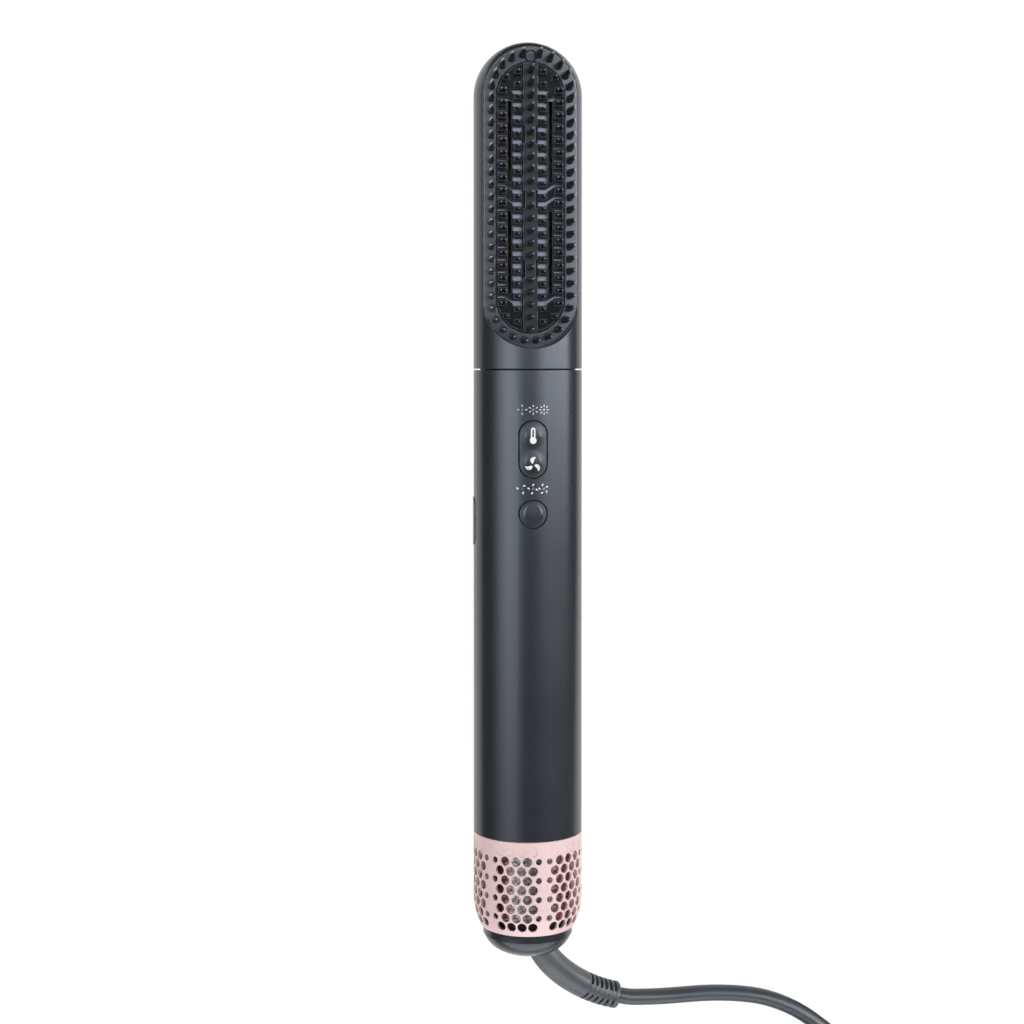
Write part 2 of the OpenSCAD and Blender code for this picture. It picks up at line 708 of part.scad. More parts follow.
module tact_switches() color("#c8c8c4") {
  for (z = [rocker_z - rocker_foot, rocker_z + rocker_foot, power_z]) tact_switch(z);
  rotate([0, 0, -90]) tact_switch(side_z);
}

module side_board() color("#1f5a3c") rotate([0, 0, -90]) facing(board_back, board_front)
  translate([-4.5, ring_2 + ring_t + seat]) square([9, 17.4]);

module board_rail(z0, z1) for (side = [-1, 1]) difference() {
  facing(board_back - 0.4, board_front + 0.5) translate([side > 0 ? rail_x : -rail_out, z0])
    square([rail_out - rail_x, z1 - z0]);
  facing(board_back - slip, board_front + slip) translate([-board_w - slip, z0 - 1])
    square([2 * board_w + 2 * slip, z1 - z0 + 2]);
}

module inner_chassis() color("#6a6e72") difference() {
  union() {
    for (z = [ring_1, ring_2]) pipe(inside_r, duct_r + seat, z, z + ring_t);
    difference() {
      pipe(inside_r, duct_r + seat, ring_3, ring_3 + ring_t);
      facing(duct_r - 6, 2 * body_r) translate([-board_w - slip, ring_3 - 1])
        square([2 * board_w + 2 * slip, ring_t + 2]);
    }
    board_rail(ring_2 + 1, ring_3 + ring_t);
    rotate([0, 0, 180]) board_rail(ring_1 + 1, ring_2 + 1);
    for (side = [-1, 1]) translate([side > 0 ? inside_r - 4.3 : 4.3 - inside_r - strut_t, 5, ring_1])
      cube([strut_t, 3, ring_3 + ring_t - ring_1]);
  }
  // Way for the inner lead
  translate([-2.3, duct_r, ring_1 - 1]) cube([4.6, body_r, ring_t + 2]);
}

module air_duct() color("#c9c2ae") pipe(duct_r, duct_in, duct_z, duct_top);

module heater_frame() color("#cfc6a8") {
  translate([-mica_w, -0.5, mica_z]) cube([2 * mica_w, 1, mica_top - mica_z]);
  translate([-0.5, -mica_w, mica_z]) cube([1, 2 * mica_w, mica_top - mica_z]);
  // Spacer rings that centre the cross in the duct
  for (z = [mica_z - 2, mica_top]) {
    pipe(duct_in - seat, duct_in - 1.6, z, z + 2);
    for (a = [0, 90]) rotate([0, 0, a]) translate([-duct_in + 1, -0.5, z]) cube([2 * duct_in - 2, 1, 2]);
  }
}

wire_pitch = (mica_top - mica_z - 8) / heater_turns;
wire_path = [for (i = [0 : heater_turns * 14]) let (a = i * 360 / 14)
  [coil_in * cos(a), coil_in * sin(a), mica_z + 4 + wire_pitch * a / 360]];

module heater_wire() color("#8a8f94") sweep(wire_path, ways(wire_path, [0, 1, 0], [0, 1, 0]),
  [for (p = wire_path) wire_r], 5, [0, 0, 1]);

fuse_r = 1.6;
fuse_len = 8;

module thermal_fuse() color("#d8d8d8") translate([4, 0.5 + fuse_r + slip, mica_top - fuse_len - 3])
  cylinder(r = fuse_r, h = fuse_len);

module driver_board() color("#1f5a3c") rotate([0, 0, 180]) facing(board_back, board_front)
  translate([-board_w, driver_z]) square([2 * board_w, driver_top - driver_z]);

capacitor_r = 1.5;
capacitor_end = 8;

module filter_capacitor() color("#27395e")
  translate([3.6, board_front + capacitor_r + slip, driver_z + capacitor_end])
    cylinder(r = capacitor_r, h = driver_top - driver_z - 2 * capacitor_end);

module motor_mount() color("#3b3b3b") difference() {
  pipe(inside_r, fan_r + fan_wall + seat, fan_z + 4, ring_1 - seat);
  translate([-2.3, 0, fan_z]) cube([4.6, body_r, fan_len + 10]);
}

module motor_housing() color("#b9bcc0") difference() {
  union() {
    pipe(fan_r + fan_wall, fan_r, fan_z, fan_z + fan_len);
    pipe(hub_r, hub_r - 0.8, hub_z, hub_top);
    for (z = [hub_z, hub_top - bearing_h]) pipe(hub_r - 0.4, bearing_r + slip / 2, z, z + bearing_h);
    for (i = [0 : vane_count - 1]) rotate([0, 0, 90 + 180 / vane_count + i * 360 / vane_count])
      translate([hub_r - 0.4, -0.45, hub_z + 2]) cube([fan_r - hub_r + 0.7, 0.9, 14]);
  }
}

stator_z = [hub_z + bearing_h + 1, hub_top - bearing_h - 1];

module motor_stator() color("#a8642c") {
  pipe(hub_r - 0.8 - slip, hub_r - 2.8, stator_z[0], stator_z[1]);
  for (a = [0 : 60 : 300]) rotate([0, 0, a]) translate([3.8, -1, stator_z[0]])
    cube([hub_r - 2.6 - 3.8, 2, stator_z[1] - stator_z[0]]);
}

module motor_bearings() color("silver") for (z = [hub_z, hub_top - bearing_h])
  pipe(bearing_r, shaft_r + slip, z, z + bearing_h);

module rotor_shaft() color("#d8dadc") rod(shaft_r, fan_z + 2.6, hub_top + 0.6);

module rotor_magnet() color("#6e7074") pipe(3.2, shaft_r + 0.02, stator_z[0] + 0.6, stator_z[1] - 0.6);

module impeller() color("#e2e2de") {
  low = fan_z + 3.5;
  high = hub_z - 1.2;
  bend_r = 9;
  difference() {
    translate([0, 0, low]) cylinder(r1 = 3.6, r2 = hub_r - 0.3, h = high - low);
    rod(shaft_r + 0.02, low - 1, high + 1);
  }
  // Curved blades, cut back to the hub's cone and to the housing's bore
  difference() {
    intersection() {
      for (i = [0 : fan_blades - 1]) rotate([0, 0, i * 360 / fan_blades]) rotate([90, 0, 90])
        translate([0, 0, 3.2]) linear_extrude(fan_r - 3.2) intersection() {
          translate([6.4, low - 1]) difference() {
            circle(bend_r + 0.35);
            circle(bend_r - 0.35);
          }
          translate([-6, low + 0.4]) square([9, high - low - 0.8]);
        }
      rod(fan_r - 0.5, low, high);
    }
    translate([0, 0, low - 0.1]) cylinder(r1 = 2.6, r2 = hub_r - 1.4, h = high - low + 0.2);
  }
}

// Intake and tail

arc_steps = 6;
function arc_points(r) = [for (i = [0 : arc_steps]) let (a = -asin(curve_h / r) * (1 - i / arc_steps))
  [body_r - sleeve_curve + r * cos(a), sleeve_z + curve_h + r * sin(a)]];

module sleeve_profile() {
  inner = arc_points(sleeve_curve - sleeve_wall);
  polygon(concat(arc_points(sleeve_curve), [[body_r, sleeve_top], [body_r - sleeve_wall, sleeve_top]],
    [for (i = [arc_steps : -1 : 0]) inner[i]]));
}

module hole(angle, z, d) rotate([0, 0, angle]) front_pin(d / 2, 0, z, body_r - 4, body_r + 1);

module intake_sleeve() color("#e6bfbf") difference() {
  rotate_extrude() sleeve_profile();
  for (g = [0 : hole_groups - 1], row = [0 : hole_rows - 1]) let (
      z = sleeve_z + hole_low + row * hole_rise, base = hole_turn + g * 360 / hole_groups)
    if (row % 2 == 0) for (k = [-1.5 : 1.5]) hole(base + k * hole_step, z, hole_d);
    else for (k = [-2 : 2]) hole(base + k * hole_step, z, abs(k) == 2 ? small_d : hole_d);
  // Shallow dimples above the top row
  for (g = [0 : hole_groups - 1], k = [-1.5 : 1.5])
    rotate([0, 0, hole_turn + g * 360 / hole_groups + k * hole_step])
      front_pin(hole_d / 2 - 0.1, 0, sleeve_z + hole_low + hole_rows * hole_rise,
        body_r - 0.15, body_r + 1);
  // Bayonet grooves, open towards the handle at one end
  for (a = [0, 120, 240]) rotate([0, 0, a]) {
    rotate_extrude(angle = lug_angle + sleeve_twist + 2) translate([lug_r - 0.1, lug_z - 0.3])
      square([0.9, 1.6]);
    rotate_extrude(angle = lug_angle + 2) translate([lug_r - 0.1, lug_z]) square([0.9, 4]);
  }
}

module intake_cage() color("#26292c") difference() {
  union() {
    pipe(cage_out, cage_in, cage_z, handle_z);
    pipe(lug_r, cage_in, lug_z - 0.6, sleeve_top - 0.3);
    pipe(inside_r, cage_in, sleeve_top - 0.4, fan_z - seat);
    for (a = [0, 120, 240]) rotate([0, 0, a + sleeve_twist + 1]) rotate_extrude(angle = lug_angle)
      translate([lug_r - 0.5, lug_z]) square([1.05, 1]);
  }
  for (a = [0 : 30 : 330]) rotate([0, 0, a]) translate([-2.6, -body_r, sleeve_z + 8])
    cube([5.2, body_r - 8, sleeve_len - 14]);
  translate([-2.3, 12, sleeve_top - 3.5]) cube([4.6, body_r, fan_z]);
}

module filter_mesh() color("#b9b4ae") pipe(cage_out + slip + mesh_t, cage_out + slip,
  sleeve_z + 5.2, lug_z - 0.9);

function dome_points(grow) = let (
    knuckle = [dome_r - dome_knuckle, dome_h - 0.5],
    crown = (knuckle[0] * knuckle[0] + knuckle[1] * knuckle[1] - dome_knuckle * dome_knuckle)
      / (2 * (knuckle[1] - dome_knuckle)),
    turn = atan2(knuckle[0], crown - knuckle[1]))
  concat(
    [for (i = [0 : 7]) let (a = turn * i / 7) [(crown + grow) * sin(a), crown - (crown + grow) * cos(a)]],
    [for (i = [1 : 8]) let (a = turn + (90 - turn) * i / 8)
      [knuckle[0] + (dome_knuckle + grow) * sin(a), knuckle[1] - (dome_knuckle + grow) * cos(a)]]);

module dome_body(grow, top) rotate_extrude()
  polygon(concat(dome_points(grow), [[dome_r + grow, top], [0, top]]));

// Direction of the lead's slanting exit from the dome, in the standing frame
exit_way = [boot_way[0], -boot_way[2], boot_way[1]];

module exit_rod(r, from, to) translate([0, 0, boot_root[1]])
  rotate([0, 0, atan2(exit_way[1], exit_way[0])]) rotate([0, acos(exit_way[2]), 0])
    translate([0, 0, from]) cylinder(r = r, h = to - from);

module end_dome() color("#2a2d30") difference() {
  union() {
    difference() {
      dome_body(0, dome_h - 0.1);
      dome_body(-dome_wall, dome_h + 1);
    }
    pipe(dome_r - 0.1, dome_r - dome_wall - 0.1, dome_h - 3, dome_h - 0.1);
    pipe(cage_in - slip, spigot_d_in, dome_h - 3, dome_h + 6.5);
    // Neck that holds the strain relief, with a low lip round its mouth
    intersection() {
      exit_rod(boot_d / 2 + 1.2, 2.3, 18);
      dome_body(0.5, dome_h + 5);
    }
  }
  exit_rod(boot_d / 2 + 0.1, -2, 20);
}

inner_route = [
  [0, 0, 9.5] - 0.05 * exit_way, [0, 0, 9.5] - 2.5 * exit_way, [-2.4, -0.8, 14.4], [-2.6, -0.8, 18.5],
  [-2.2, 2.6, 26], [-1.2, 8, 34], [-0.4, 12, 41], [0, 14.6, 47.5], [0, 15.7, 55], [0, 15.7, 75],
  [0, 15.7, 94], [0, 15.6, 98.5], [0, 14.9, 102], [0, 14.4, 104.4], [0, 14.4, driver_z - 0.05]
];

module cord_clamp() color("#3b3e42") difference() {
  intersection() {
    rod(spigot_d_in - seat, dome_h + 3.6, dome_h + 6);
    translate([-body_r, -3.4, 0]) cube([2 * body_r, 5.2, total]);
  }
  translate([-2.6, -0.8, dome_h]) cylinder(r = 1.6, h = 8);
}

module inner_lead() color("#2b2d30") sweep(inner_route, ways(inner_route, -exit_way, [0, 0, 1]),
  [for (p = inner_route) 1.5], 8, [1, 0, 0]);

// Lead, strain relief and plug

function bezier(a, b, c, d, t) = pow(1 - t, 3) * a + 3 * pow(1 - t, 2) * t * b
  + 3 * (1 - t) * t * t * c + pow(t, 3) * d;

boot_straight = [0, 2, 2.1, 5, 9, 12.5];
boot_bend = boot_root + boot_straight[5] * boot_way;
boot_steps = 24;
boot_path = concat([for (d = boot_straight) boot_root + d * boot_way],
  [for (i = [1 : boot_steps]) bezier(boot_bend, boot_bend + boot_pull[0] * boot_way,
    boot_end - boot_pull[1] * cord_way, boot_end, i / boot_steps)]);
boot_last = len(boot_path) - 1;
boot_run = [for (i = 0, s = 0; i <= boot_last;
  s = s + (i < boot_last ? norm(boot_path[i + 1] - boot_path[i]) : 0), i = i + 1) s];

// One pair of slots: they leave the core round the lead and a spine in front and behind
module boot_slot() difference() {
  for (side = [0, 180]) rotate([side, 0, 0]) translate([-0.5, 1.75, -8]) cube([1, 8, 16]);
  rotate([0, 90, 0]) cylinder(r = 3.6, h = 4, center = true, $fn = 12);
}

module strain_relief() color("#2f3236") difference() {
  sweep(boot_path, ways(boot_path, boot_way, cord_way), [for (i = [0 : boot_last])
    boot_d / 2 + (i < 2 ? 1.2 : i == boot_last ? -0.7 : i == boot_last - 1 ? -0.15 : 0)], 16, [0, 0, 1]);
  for (k = [0 : boot_slots - 1]) let (
      s = boot_run[boot_last] - 3 - k * boot_pitch,
      i = max([for (j = [0 : boot_last]) if (boot_run[j] <= s) j]),
      t = unit(boot_path[i + 1] - boot_path[i]), p = boot_path[i] + (s - boot_run[i]) * t,
      a = unit(cross([0, 0, 1], t)), n = cross(t, a))
    multmatrix([for (r = [0 : 2]) [t[r], a[r], n[r], p[r]]]) rotate([boot_roll, 0, 0]) boot_slot();
}

module power_lead() color("#2f3236") sweep(lead_route, ways(lead_route, cord_way, coil_way),
  [for (p = lead_route) cord_d / 2], 12, [0, 0, 1]);

module lead_coil() {
  gap = min([for (i = [0 : coil_rings - 20], j = [i + 18 : coil_rings - 1]) apart(coil_turn[i], j)]) - cord_d;
  echo(str("lead_coil: least gap between its turns ", gap, " mm"));
  color("#2f3236") sweep(coil_path, ways(coil_path, coil_way, [-1, 0, 0]),
    [for (p = coil_path) cord_d / 2], 6, [0, 0, 1]);
}

// Band round the coil's section
module lead_tie() color("#1d1f21") translate([0, coil_y + tie_w / 2, 0]) rotate([90, 0, 0])
  linear_extrude(tie_w) difference() {
    translate([tie_x[0] - tie_t, 0]) square([tie_x[1] - tie_x[0] + 2 * tie_t, tie_top + tie_t]);
    translate([tie_x[0], tie_t]) square([tie_x[1] - tie_x[0], tie_top - tie_t]);
  }

// The plug lies flat, with its pins towards -X
module along_plug(x) translate(plug_entry - [x, 0, 0]) rotate([0, -90, 0]) children();

module plug_body() color("#2f3236") {
  along_plug(0) cylinder(r1 = cord_d / 2 + 0.9, r2 = 5.4, h = plug_relief + 0.1);
  for (x = [4 : 4.5 : 17.5]) along_plug(x) cylinder(r = 5.2, h = 2);
  intersection() {
    along_plug(plug_relief) rotate_extrude() polygon([[0, 0], [5.4, 0], [10, 1.4], [14.4, 4.4],
      [17, 8.4], [18, 13.4], [18, plug_len - 1], [17, plug_len], [0, plug_len]]);
    translate(plug_entry - [plug_relief + plug_len, 20, 13]) cube([plug_len, 40, 26]);
  }
}

module plug_pins() color("#c9ccd0") for (side = [-1, 1]) translate([0, side * pin_gap / 2, 0])
  along_plug(plug_relief + plug_len) {
    cylinder(d = pin_d, h = pin_len - 1.2);
    translate([0, 0, pin_len - 1.2]) cylinder(d1 = pin_d, d2 = pin_d - 1.6, h = 1.2);
  }

laid() head_shell();
laid() bristle_rim();
laid() rim_bristles();
laid() comb_insert();
laid() comb_nibs();
laid() centre_ridge();
laid() ridge_bristles();
laid() heat_plate();
laid() tip_cover();
laid() tip_screw();
laid() ridge_screws();
laid() head_liner();
laid() head_spigot();
laid() head_seal();
laid() handle_shell();
laid() mouth_ring();
laid() outlet_grille();
laid() rocker_key();
laid() rocker_pin();
laid() key_carrier();
laid() power_key();
laid() side_key();
laid() light_guide();
laid() indicator_lamps();
laid() control_board();
laid() tact_switches();
laid() side_board();
laid() inner_chassis();
laid() air_duct();
laid() heater_frame();
laid() heater_wire();
laid() thermal_fuse();
laid() driver_board();
laid() filter_capacitor();
laid() motor_mount();
laid() motor_housing();
laid() motor_stator();
laid() motor_bearings();
laid() rotor_shaft();
laid() rotor_magnet();
laid() impeller();
laid() intake_sleeve();
laid() filter_mesh();
laid() intake_cage();
laid() end_dome();
laid() cord_clamp();
laid() inner_lead();
from_tail() strain_relief();
from_tail() power_lead();
from_tail() lead_coil();
from_tail() lead_tie();
from_tail() plug_body();
from_tail() plug_pins();
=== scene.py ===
import bpy, bmesh
from math import cos, pi, radians, sin, sqrt
from mathutils import Matrix, Vector


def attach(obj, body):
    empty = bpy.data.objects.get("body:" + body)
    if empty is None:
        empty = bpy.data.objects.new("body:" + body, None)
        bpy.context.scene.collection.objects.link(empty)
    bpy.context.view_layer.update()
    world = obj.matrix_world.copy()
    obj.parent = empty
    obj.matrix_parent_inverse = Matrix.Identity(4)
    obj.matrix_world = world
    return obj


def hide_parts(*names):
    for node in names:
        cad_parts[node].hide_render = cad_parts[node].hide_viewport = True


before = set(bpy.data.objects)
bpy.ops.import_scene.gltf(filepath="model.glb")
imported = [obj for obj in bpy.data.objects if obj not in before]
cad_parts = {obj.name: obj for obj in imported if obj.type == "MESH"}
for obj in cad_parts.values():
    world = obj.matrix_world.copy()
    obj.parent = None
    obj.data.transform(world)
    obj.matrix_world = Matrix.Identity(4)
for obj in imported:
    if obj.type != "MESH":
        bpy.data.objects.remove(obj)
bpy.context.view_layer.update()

# The shot: the styler lies on its back on a white table and is photographed from straight above.
# The camera stands a little to its left, level with the lower end of the brush.
LEAN = radians(5.25)
STOOP = radians(0.7)
DISTANCE = 0.657
right = Vector((cos(LEAN), 0, sin(LEAN)))
away = Vector((sin(LEAN), 0, -cos(LEAN)))
up = Vector((0, 1, 0))
aimed_at = Vector((0, 0.04955, 0.02)) - 0.0058 * right
look = cos(STOOP) * away - sin(STOOP) * up
head_up = cos(STOOP) * up + sin(STOOP) * away
camera = bpy.data.objects.new("camera", bpy.data.cameras.new("camera"))
camera.matrix_world = Matrix((right, head_up, -look)).transposed().to_4x4()
camera.location = aimed_at - DISTANCE * away
camera.data.lens = 62.51
camera.data.shift_y = -0.1219
camera.data.clip_start = 0.01
bpy.context.scene.collection.objects.link(camera)
bpy.context.scene.camera = camera
bpy.context.scene.view_settings.view_transform = "Standard"

# Room and light: a dark studio with soft boxes painted on the world. The camera sees it plain white.
# Places across are degrees from straight up, to the right. Places along are the sine of the angle
# towards the brush.
room = bpy.data.worlds.new("room")
bpy.context.scene.world = room
room.use_nodes = True
sky = room.node_tree
sky.nodes.clear()


def calc(tree, operation, *values):
    """A Math node fed with numbers or sockets. Gives back its result."""
    node = tree.nodes.new("ShaderNodeMath")
    node.operation = operation
    for socket, value in zip(node.inputs, values):
        if isinstance(value, (int, float)):
            socket.default_value = value
        else:
            tree.links.new(value, socket)
    return node.outputs[0]


def mixed(tree, share, first, second):
    """Mixes two shaders by their share of the second."""
    mix = tree.nodes.new("ShaderNodeMixShader")
    for value, socket in zip((share, first, second), mix.inputs):
        tree.links.new(value, socket)
    return mix.outputs[0]


way, split = sky.nodes.new("ShaderNodeTexCoord"), sky.nodes.new("ShaderNodeSeparateXYZ")
sky.links.new(way.outputs["Generated"], split.inputs[0])
side_angle = calc(sky, "ARCTAN2", split.outputs["X"], split.outputs["Z"])


def soft_edge(value, dark, lit):
    edge = sky.nodes.new("ShaderNodeMapRange")
    edge.interpolation_type = "SMOOTHSTEP"
    edge.inputs["From Min"].default_value, edge.inputs["From Max"].default_value = dark, lit
    sky.links.new(value, edge.inputs["Value"])
    return edge.outputs["Result"]


def soft_box(light, colour, across, along):
    """Adds one box to the light: across and along each hold four places, dark, lit, lit and dark."""
    strength = soft_edge(side_angle, radians(across[0]), radians(across[1]))
    for edge in (soft_edge(side_angle, radians(across[3]), radians(across[2])),
                 soft_edge(split.outputs["Y"], along[0], along[1]),
                 soft_edge(split.outputs["Y"], along[3], along[2])):
        strength = calc(sky, "MULTIPLY", strength, edge)
    box = sky.nodes.new("ShaderNodeVectorMath")
    box.operation = "MULTIPLY_ADD"
    box.inputs[0].default_value = colour
    sky.links.new(strength, box.inputs[1])
    sky.links.new(light, box.inputs[2])
    return box.outputs["Vector"]


studio = sky.nodes.new("ShaderNodeRGB")
studio.outputs[0].default_value = (0.05, 0.05, 0.052, 1)
light = studio.outputs[0]
for colour, across, along in (
        # on the left, down to the tail
        ((5.7, 6.05, 6.4), (-91, -44, -41, -9), (-0.39, 0.09, 0.3, 0.5)),
        # on the right, above the head
        ((8.6, 9.0, 9.4), (4, 37, 83, 125), (-0.06, 0.03, 0.3, 0.45)),
        # a weaker one between them, beyond the head
        ((2.2, 2.35, 2.55), (-40, 0, 1, 40), (-0.05, 0.03, 0.3, 0.5)),
        # a white board low behind the tail, over the full width
        ((2.8, 2.9, 3.0), (-400, -300, 300, 400), (-3, -2, -0.8, -0.45))):
    light = soft_box(light, colour, across, along)
dim, plain = sky.nodes.new("ShaderNodeBackground"), sky.nodes.new("ShaderNodeBackground")
sky.links.new(light, dim.inputs["Color"])
plain.inputs["Color"].default_value = (1, 1, 1, 1)
sight = sky.nodes.new("ShaderNodeLightPath")
seen = calc(sky, "MAXIMUM", sight.outputs["Is Camera Ray"], sight.outputs["Is Transmission Ray"])
world_out = sky.nodes.new("ShaderNodeOutputWorld")
sky.links.new(mixed(sky, seen, dim.outputs[0], plain.outputs[0]), world_out.inputs["Surface"])

# Table: a white laminate top, 6 m square. Eye, gloss and glass see it nearly white, and it keeps
# a faint shadow.
table_mesh = bpy.data.meshes.new("table_top")
table_mesh.from_pydata([(-3, -3, 0), (3, -3, 0), (3, 3, 0), (-3, 3, 0)], [], [(0, 1, 2, 3)])
table_top = bpy.data.objects.new("table_top", table_mesh)
bpy.context.scene.collection.objects.link(table_top)
laminate = bpy.data.materials.new("white laminate")
laminate.use_nodes = True
top = laminate.node_tree
top.nodes.clear()
lit = top.nodes.new("ShaderNodeBsdfDiffuse")
lit.inputs["Color"].default_value = (0.8, 0.8, 0.8, 1)
glow = top.nodes.new("ShaderNodeEmission")
glow.inputs["Color"].default_value = (1, 1, 1, 1)
glow.inputs["Strength"].default_value = 1.06
GLOW_SHARE = 0.82
sight = top.nodes.new("ShaderNodeLightPath")
seen = calc(top, "MAXIMUM", sight.outputs["Is Camera Ray"], sight.outputs["Is Glossy Ray"])
seen = calc(top, "MAXIMUM", seen, sight.outputs["Is Transmission Ray"])
share = calc(top, "MULTIPLY", seen, GLOW_SHARE)
surface_out = top.nodes.new("ShaderNodeOutputMaterial")
top.links.new(mixed(top, share, lit.outputs[0], glow.outputs[0]), surface_out.inputs["Surface"])
table_mesh.materials.append(laminate)

# Flags: black cards that lie on the table at both sides of the styler and beyond its head. The barrel
# mirrors them as the dark lines beside its white rims. Nothing but its gloss sees them.
black_card = bpy.data.materials.new("black card")
black_card.use_nodes = True
card_shader = black_card.node_tree.nodes["Principled BSDF"]
card_shader.inputs["Base Color"].default_value = (0.01, 0.01, 0.01, 1)
card_shader.inputs["Roughness"].default_value = 0.9
CARD_HEIGHT = 0.001
for name, corners in (("left_flag", ((-2.9, -0.9), (-0.07, -0.9), (-0.058, 0.9), (-2.9, 0.9))),
                      ("right_flag", ((0.30, -0.9), (2.9, -0.9), (2.9, 0.9), (0.062, 0.9), (0.062, -0.03))),
                      ("head_flag", ((-2.9, 0.182), (2.9, 0.182), (2.9, 2.9), (-2.9, 2.9)))):
    flag_mesh = bpy.data.meshes.new(name)
    flag_mesh.from_pydata([(x, y, CARD_HEIGHT) for x, y in corners], [], [tuple(range(len(corners)))])
    flag_mesh.materials.append(black_card)
    flag = bpy.data.objects.new(name, flag_mesh)
    flag.visible_camera = flag.visible_diffuse = flag.visible_shadow = flag.visible_transmission = False
    bpy.context.scene.collection.objects.link(flag)

# Mains lead: a 1.8 m two-core lead in a 6 mm smooth black sheath. It leaves the strain relief,
# lies down on the table and runs off to the right, where the rest is wound into a round coil.
MM = 0.001
TAIL_END = -168.35


def new_group(name, kind, inputs, outputs):
    """A node group with named sockets: each is its name, its kind and, if wanted, its first value."""
    group = bpy.data.node_groups.new(name, kind)
    for side, sockets in (("INPUT", inputs), ("OUTPUT", outputs)):
        for label, holds, *first in sockets:
            socket = group.interface.new_socket(label, in_out=side, socket_type="NodeSocket" + holds)
            if first:
                socket.default_value = first[0]
    return group, group.nodes.new("NodeGroupInput"), group.nodes.new("NodeGroupOutput")


def surface_grain():
    """Colour drift, worn patches of gloss and fine relief of a moulded or coated surface."""
    group, given, made = new_group(
        "surface grain", "ShaderNodeTree",
        (("Colour", "Color", (0.1, 0.1, 0.1, 1)), ("Drift", "Float", 0.1), ("Patch size", "Float", 60.0),
         ("Grain size", "Float", 2500.0), ("Gloss low", "Float", 0.35), ("Gloss high", "Float", 0.45)),
        (("Colour", "Color"), ("Roughness", "Float"), ("Height", "Float")))
    nodes, links = group.nodes, group.links
    place = nodes.new("ShaderNodeTexCoord")
    patches, fine = nodes.new("ShaderNodeTexNoise"), nodes.new("ShaderNodeTexNoise")
    patches.inputs["Detail"].default_value = 3
    fine.inputs["Detail"].default_value = 2
    for noise, size in ((patches, "Patch size"), (fine, "Grain size")):
        links.new(place.outputs["Object"], noise.inputs["Vector"])
        links.new(given.outputs[size], noise.inputs["Scale"])
    swing = calc(group, "MULTIPLY_ADD", patches.outputs["Fac"], 2, -1)
    swing = calc(group, "MULTIPLY_ADD", swing, given.outputs["Drift"], 1)
    shade = nodes.new("ShaderNodeVectorMath")
    shade.operation = "SCALE"
    links.new(given.outputs["Colour"], shade.inputs[0])
    links.new(swing, shade.inputs["Scale"])
    links.new(shade.outputs[0], made.inputs["Colour"])
    gloss = nodes.new("ShaderNodeMapRange")
    gloss.inputs["From Min"].default_value, gloss.inputs["From Max"].default_value = 0.3, 0.7
    links.new(patches.outputs["Fac"], gloss.inputs["Value"])
    links.new(given.outputs["Gloss low"], gloss.inputs["To Min"])
    links.new(given.outputs["Gloss high"], gloss.inputs["To Max"])
    links.new(gloss.outputs[0], made.inputs["Roughness"])
    links.new(fine.outputs["Fac"], made.inputs["Height"])
    return group


GRAIN = surface_grain()


def finish(name, colour, gloss, drift=0.1, patch=60, grain=2500, relief=0.02, edge=0, **sockets):
    """A material on the shared grain: gloss is (low, high) roughness, relief the bump's strength and
    edge the radius to which sharp edges are shaded round."""
    made = bpy.data.materials.new(name)
    made.use_nodes = True
    nodes, links = made.node_tree.nodes, made.node_tree.links
    shader = nodes["Principled BSDF"]
    worn = nodes.new("ShaderNodeGroup")
    worn.node_tree = GRAIN
    worn.inputs["Colour"].default_value = (*colour, 1)
    for socket, value in (("Drift", drift), ("Patch size", patch), ("Grain size", grain),
                          ("Gloss low", gloss[0]), ("Gloss high", gloss[1])):
        worn.inputs[socket].default_value = value
    links.new(worn.outputs["Colour"], shader.inputs["Base Color"])
    links.new(worn.outputs["Roughness"], shader.inputs["Roughness"])
    bump = nodes.new("ShaderNodeBump")
    bump.inputs["Strength"].default_value = relief
    bump.inputs["Distance"].default_value = 0.2 * MM
    links.new(worn.outputs["Height"], bump.inputs["Height"])
    links.new(bump.outputs["Normal"], shader.inputs["Normal"])
    if edge:
        rounded = nodes.new("ShaderNodeBevel")
        rounded.samples = 6
        rounded.inputs["Radius"].default_value = edge * MM
        links.new(rounded.outputs["Normal"], bump.inputs["Normal"])
    for socket, value in sockets.items():
        shader.inputs[socket.replace("_", " ")].default_value = value
    return made


def dress(material, *names):
    """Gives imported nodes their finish."""
    for name in names:
        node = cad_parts[name]
        node.data.materials.clear()
        node.data.materials.append(material)


def unit(v):
    return Vector(v).normalized()


cord_d = 6.0
boot_end = Vector((36, -22, 5.3))
cord_way = unit((0.975, -0.205, -0.08))
# The coil has two layers: the lower one winds in and the upper one winds out again.
coil_centre = (103.0, -93.0)
coil_start, coil_turns, coil_step, coil_rise, coil_inner = 45.0, 7.375, 6.8, 6.5, 24.0
layer_change = 0.25
tie_angle, tie_lift, tie_reach = 180.0, 0.9, 40


def coil_point(turn):
    """The lead's middle after so many turns. It climbs at half way and lifts a little in the tie."""
    beyond = abs(turn - coil_turns / 2)
    if beyond <= layer_change:
        beyond = (beyond * beyond / layer_change + layer_change) / 2
    radius = coil_inner + coil_step * beyond
    climb = min(max((turn - coil_turns / 2 + layer_change) / (2 * layer_change), 0), 1)
    angle = coil_start - 360 * turn
    off = abs((angle - tie_angle + 180) % 360 - 180)
    lift = 0 if off > tie_reach else tie_lift * cos(radians(off * 90 / tie_reach)) ** 2
    return Vector((coil_centre[0] + radius * cos(radians(angle)), coil_centre[1] + radius * sin(radians(angle)),
                   cord_d / 2 + coil_rise * (1 - cos(pi * climb)) / 2 + lift))


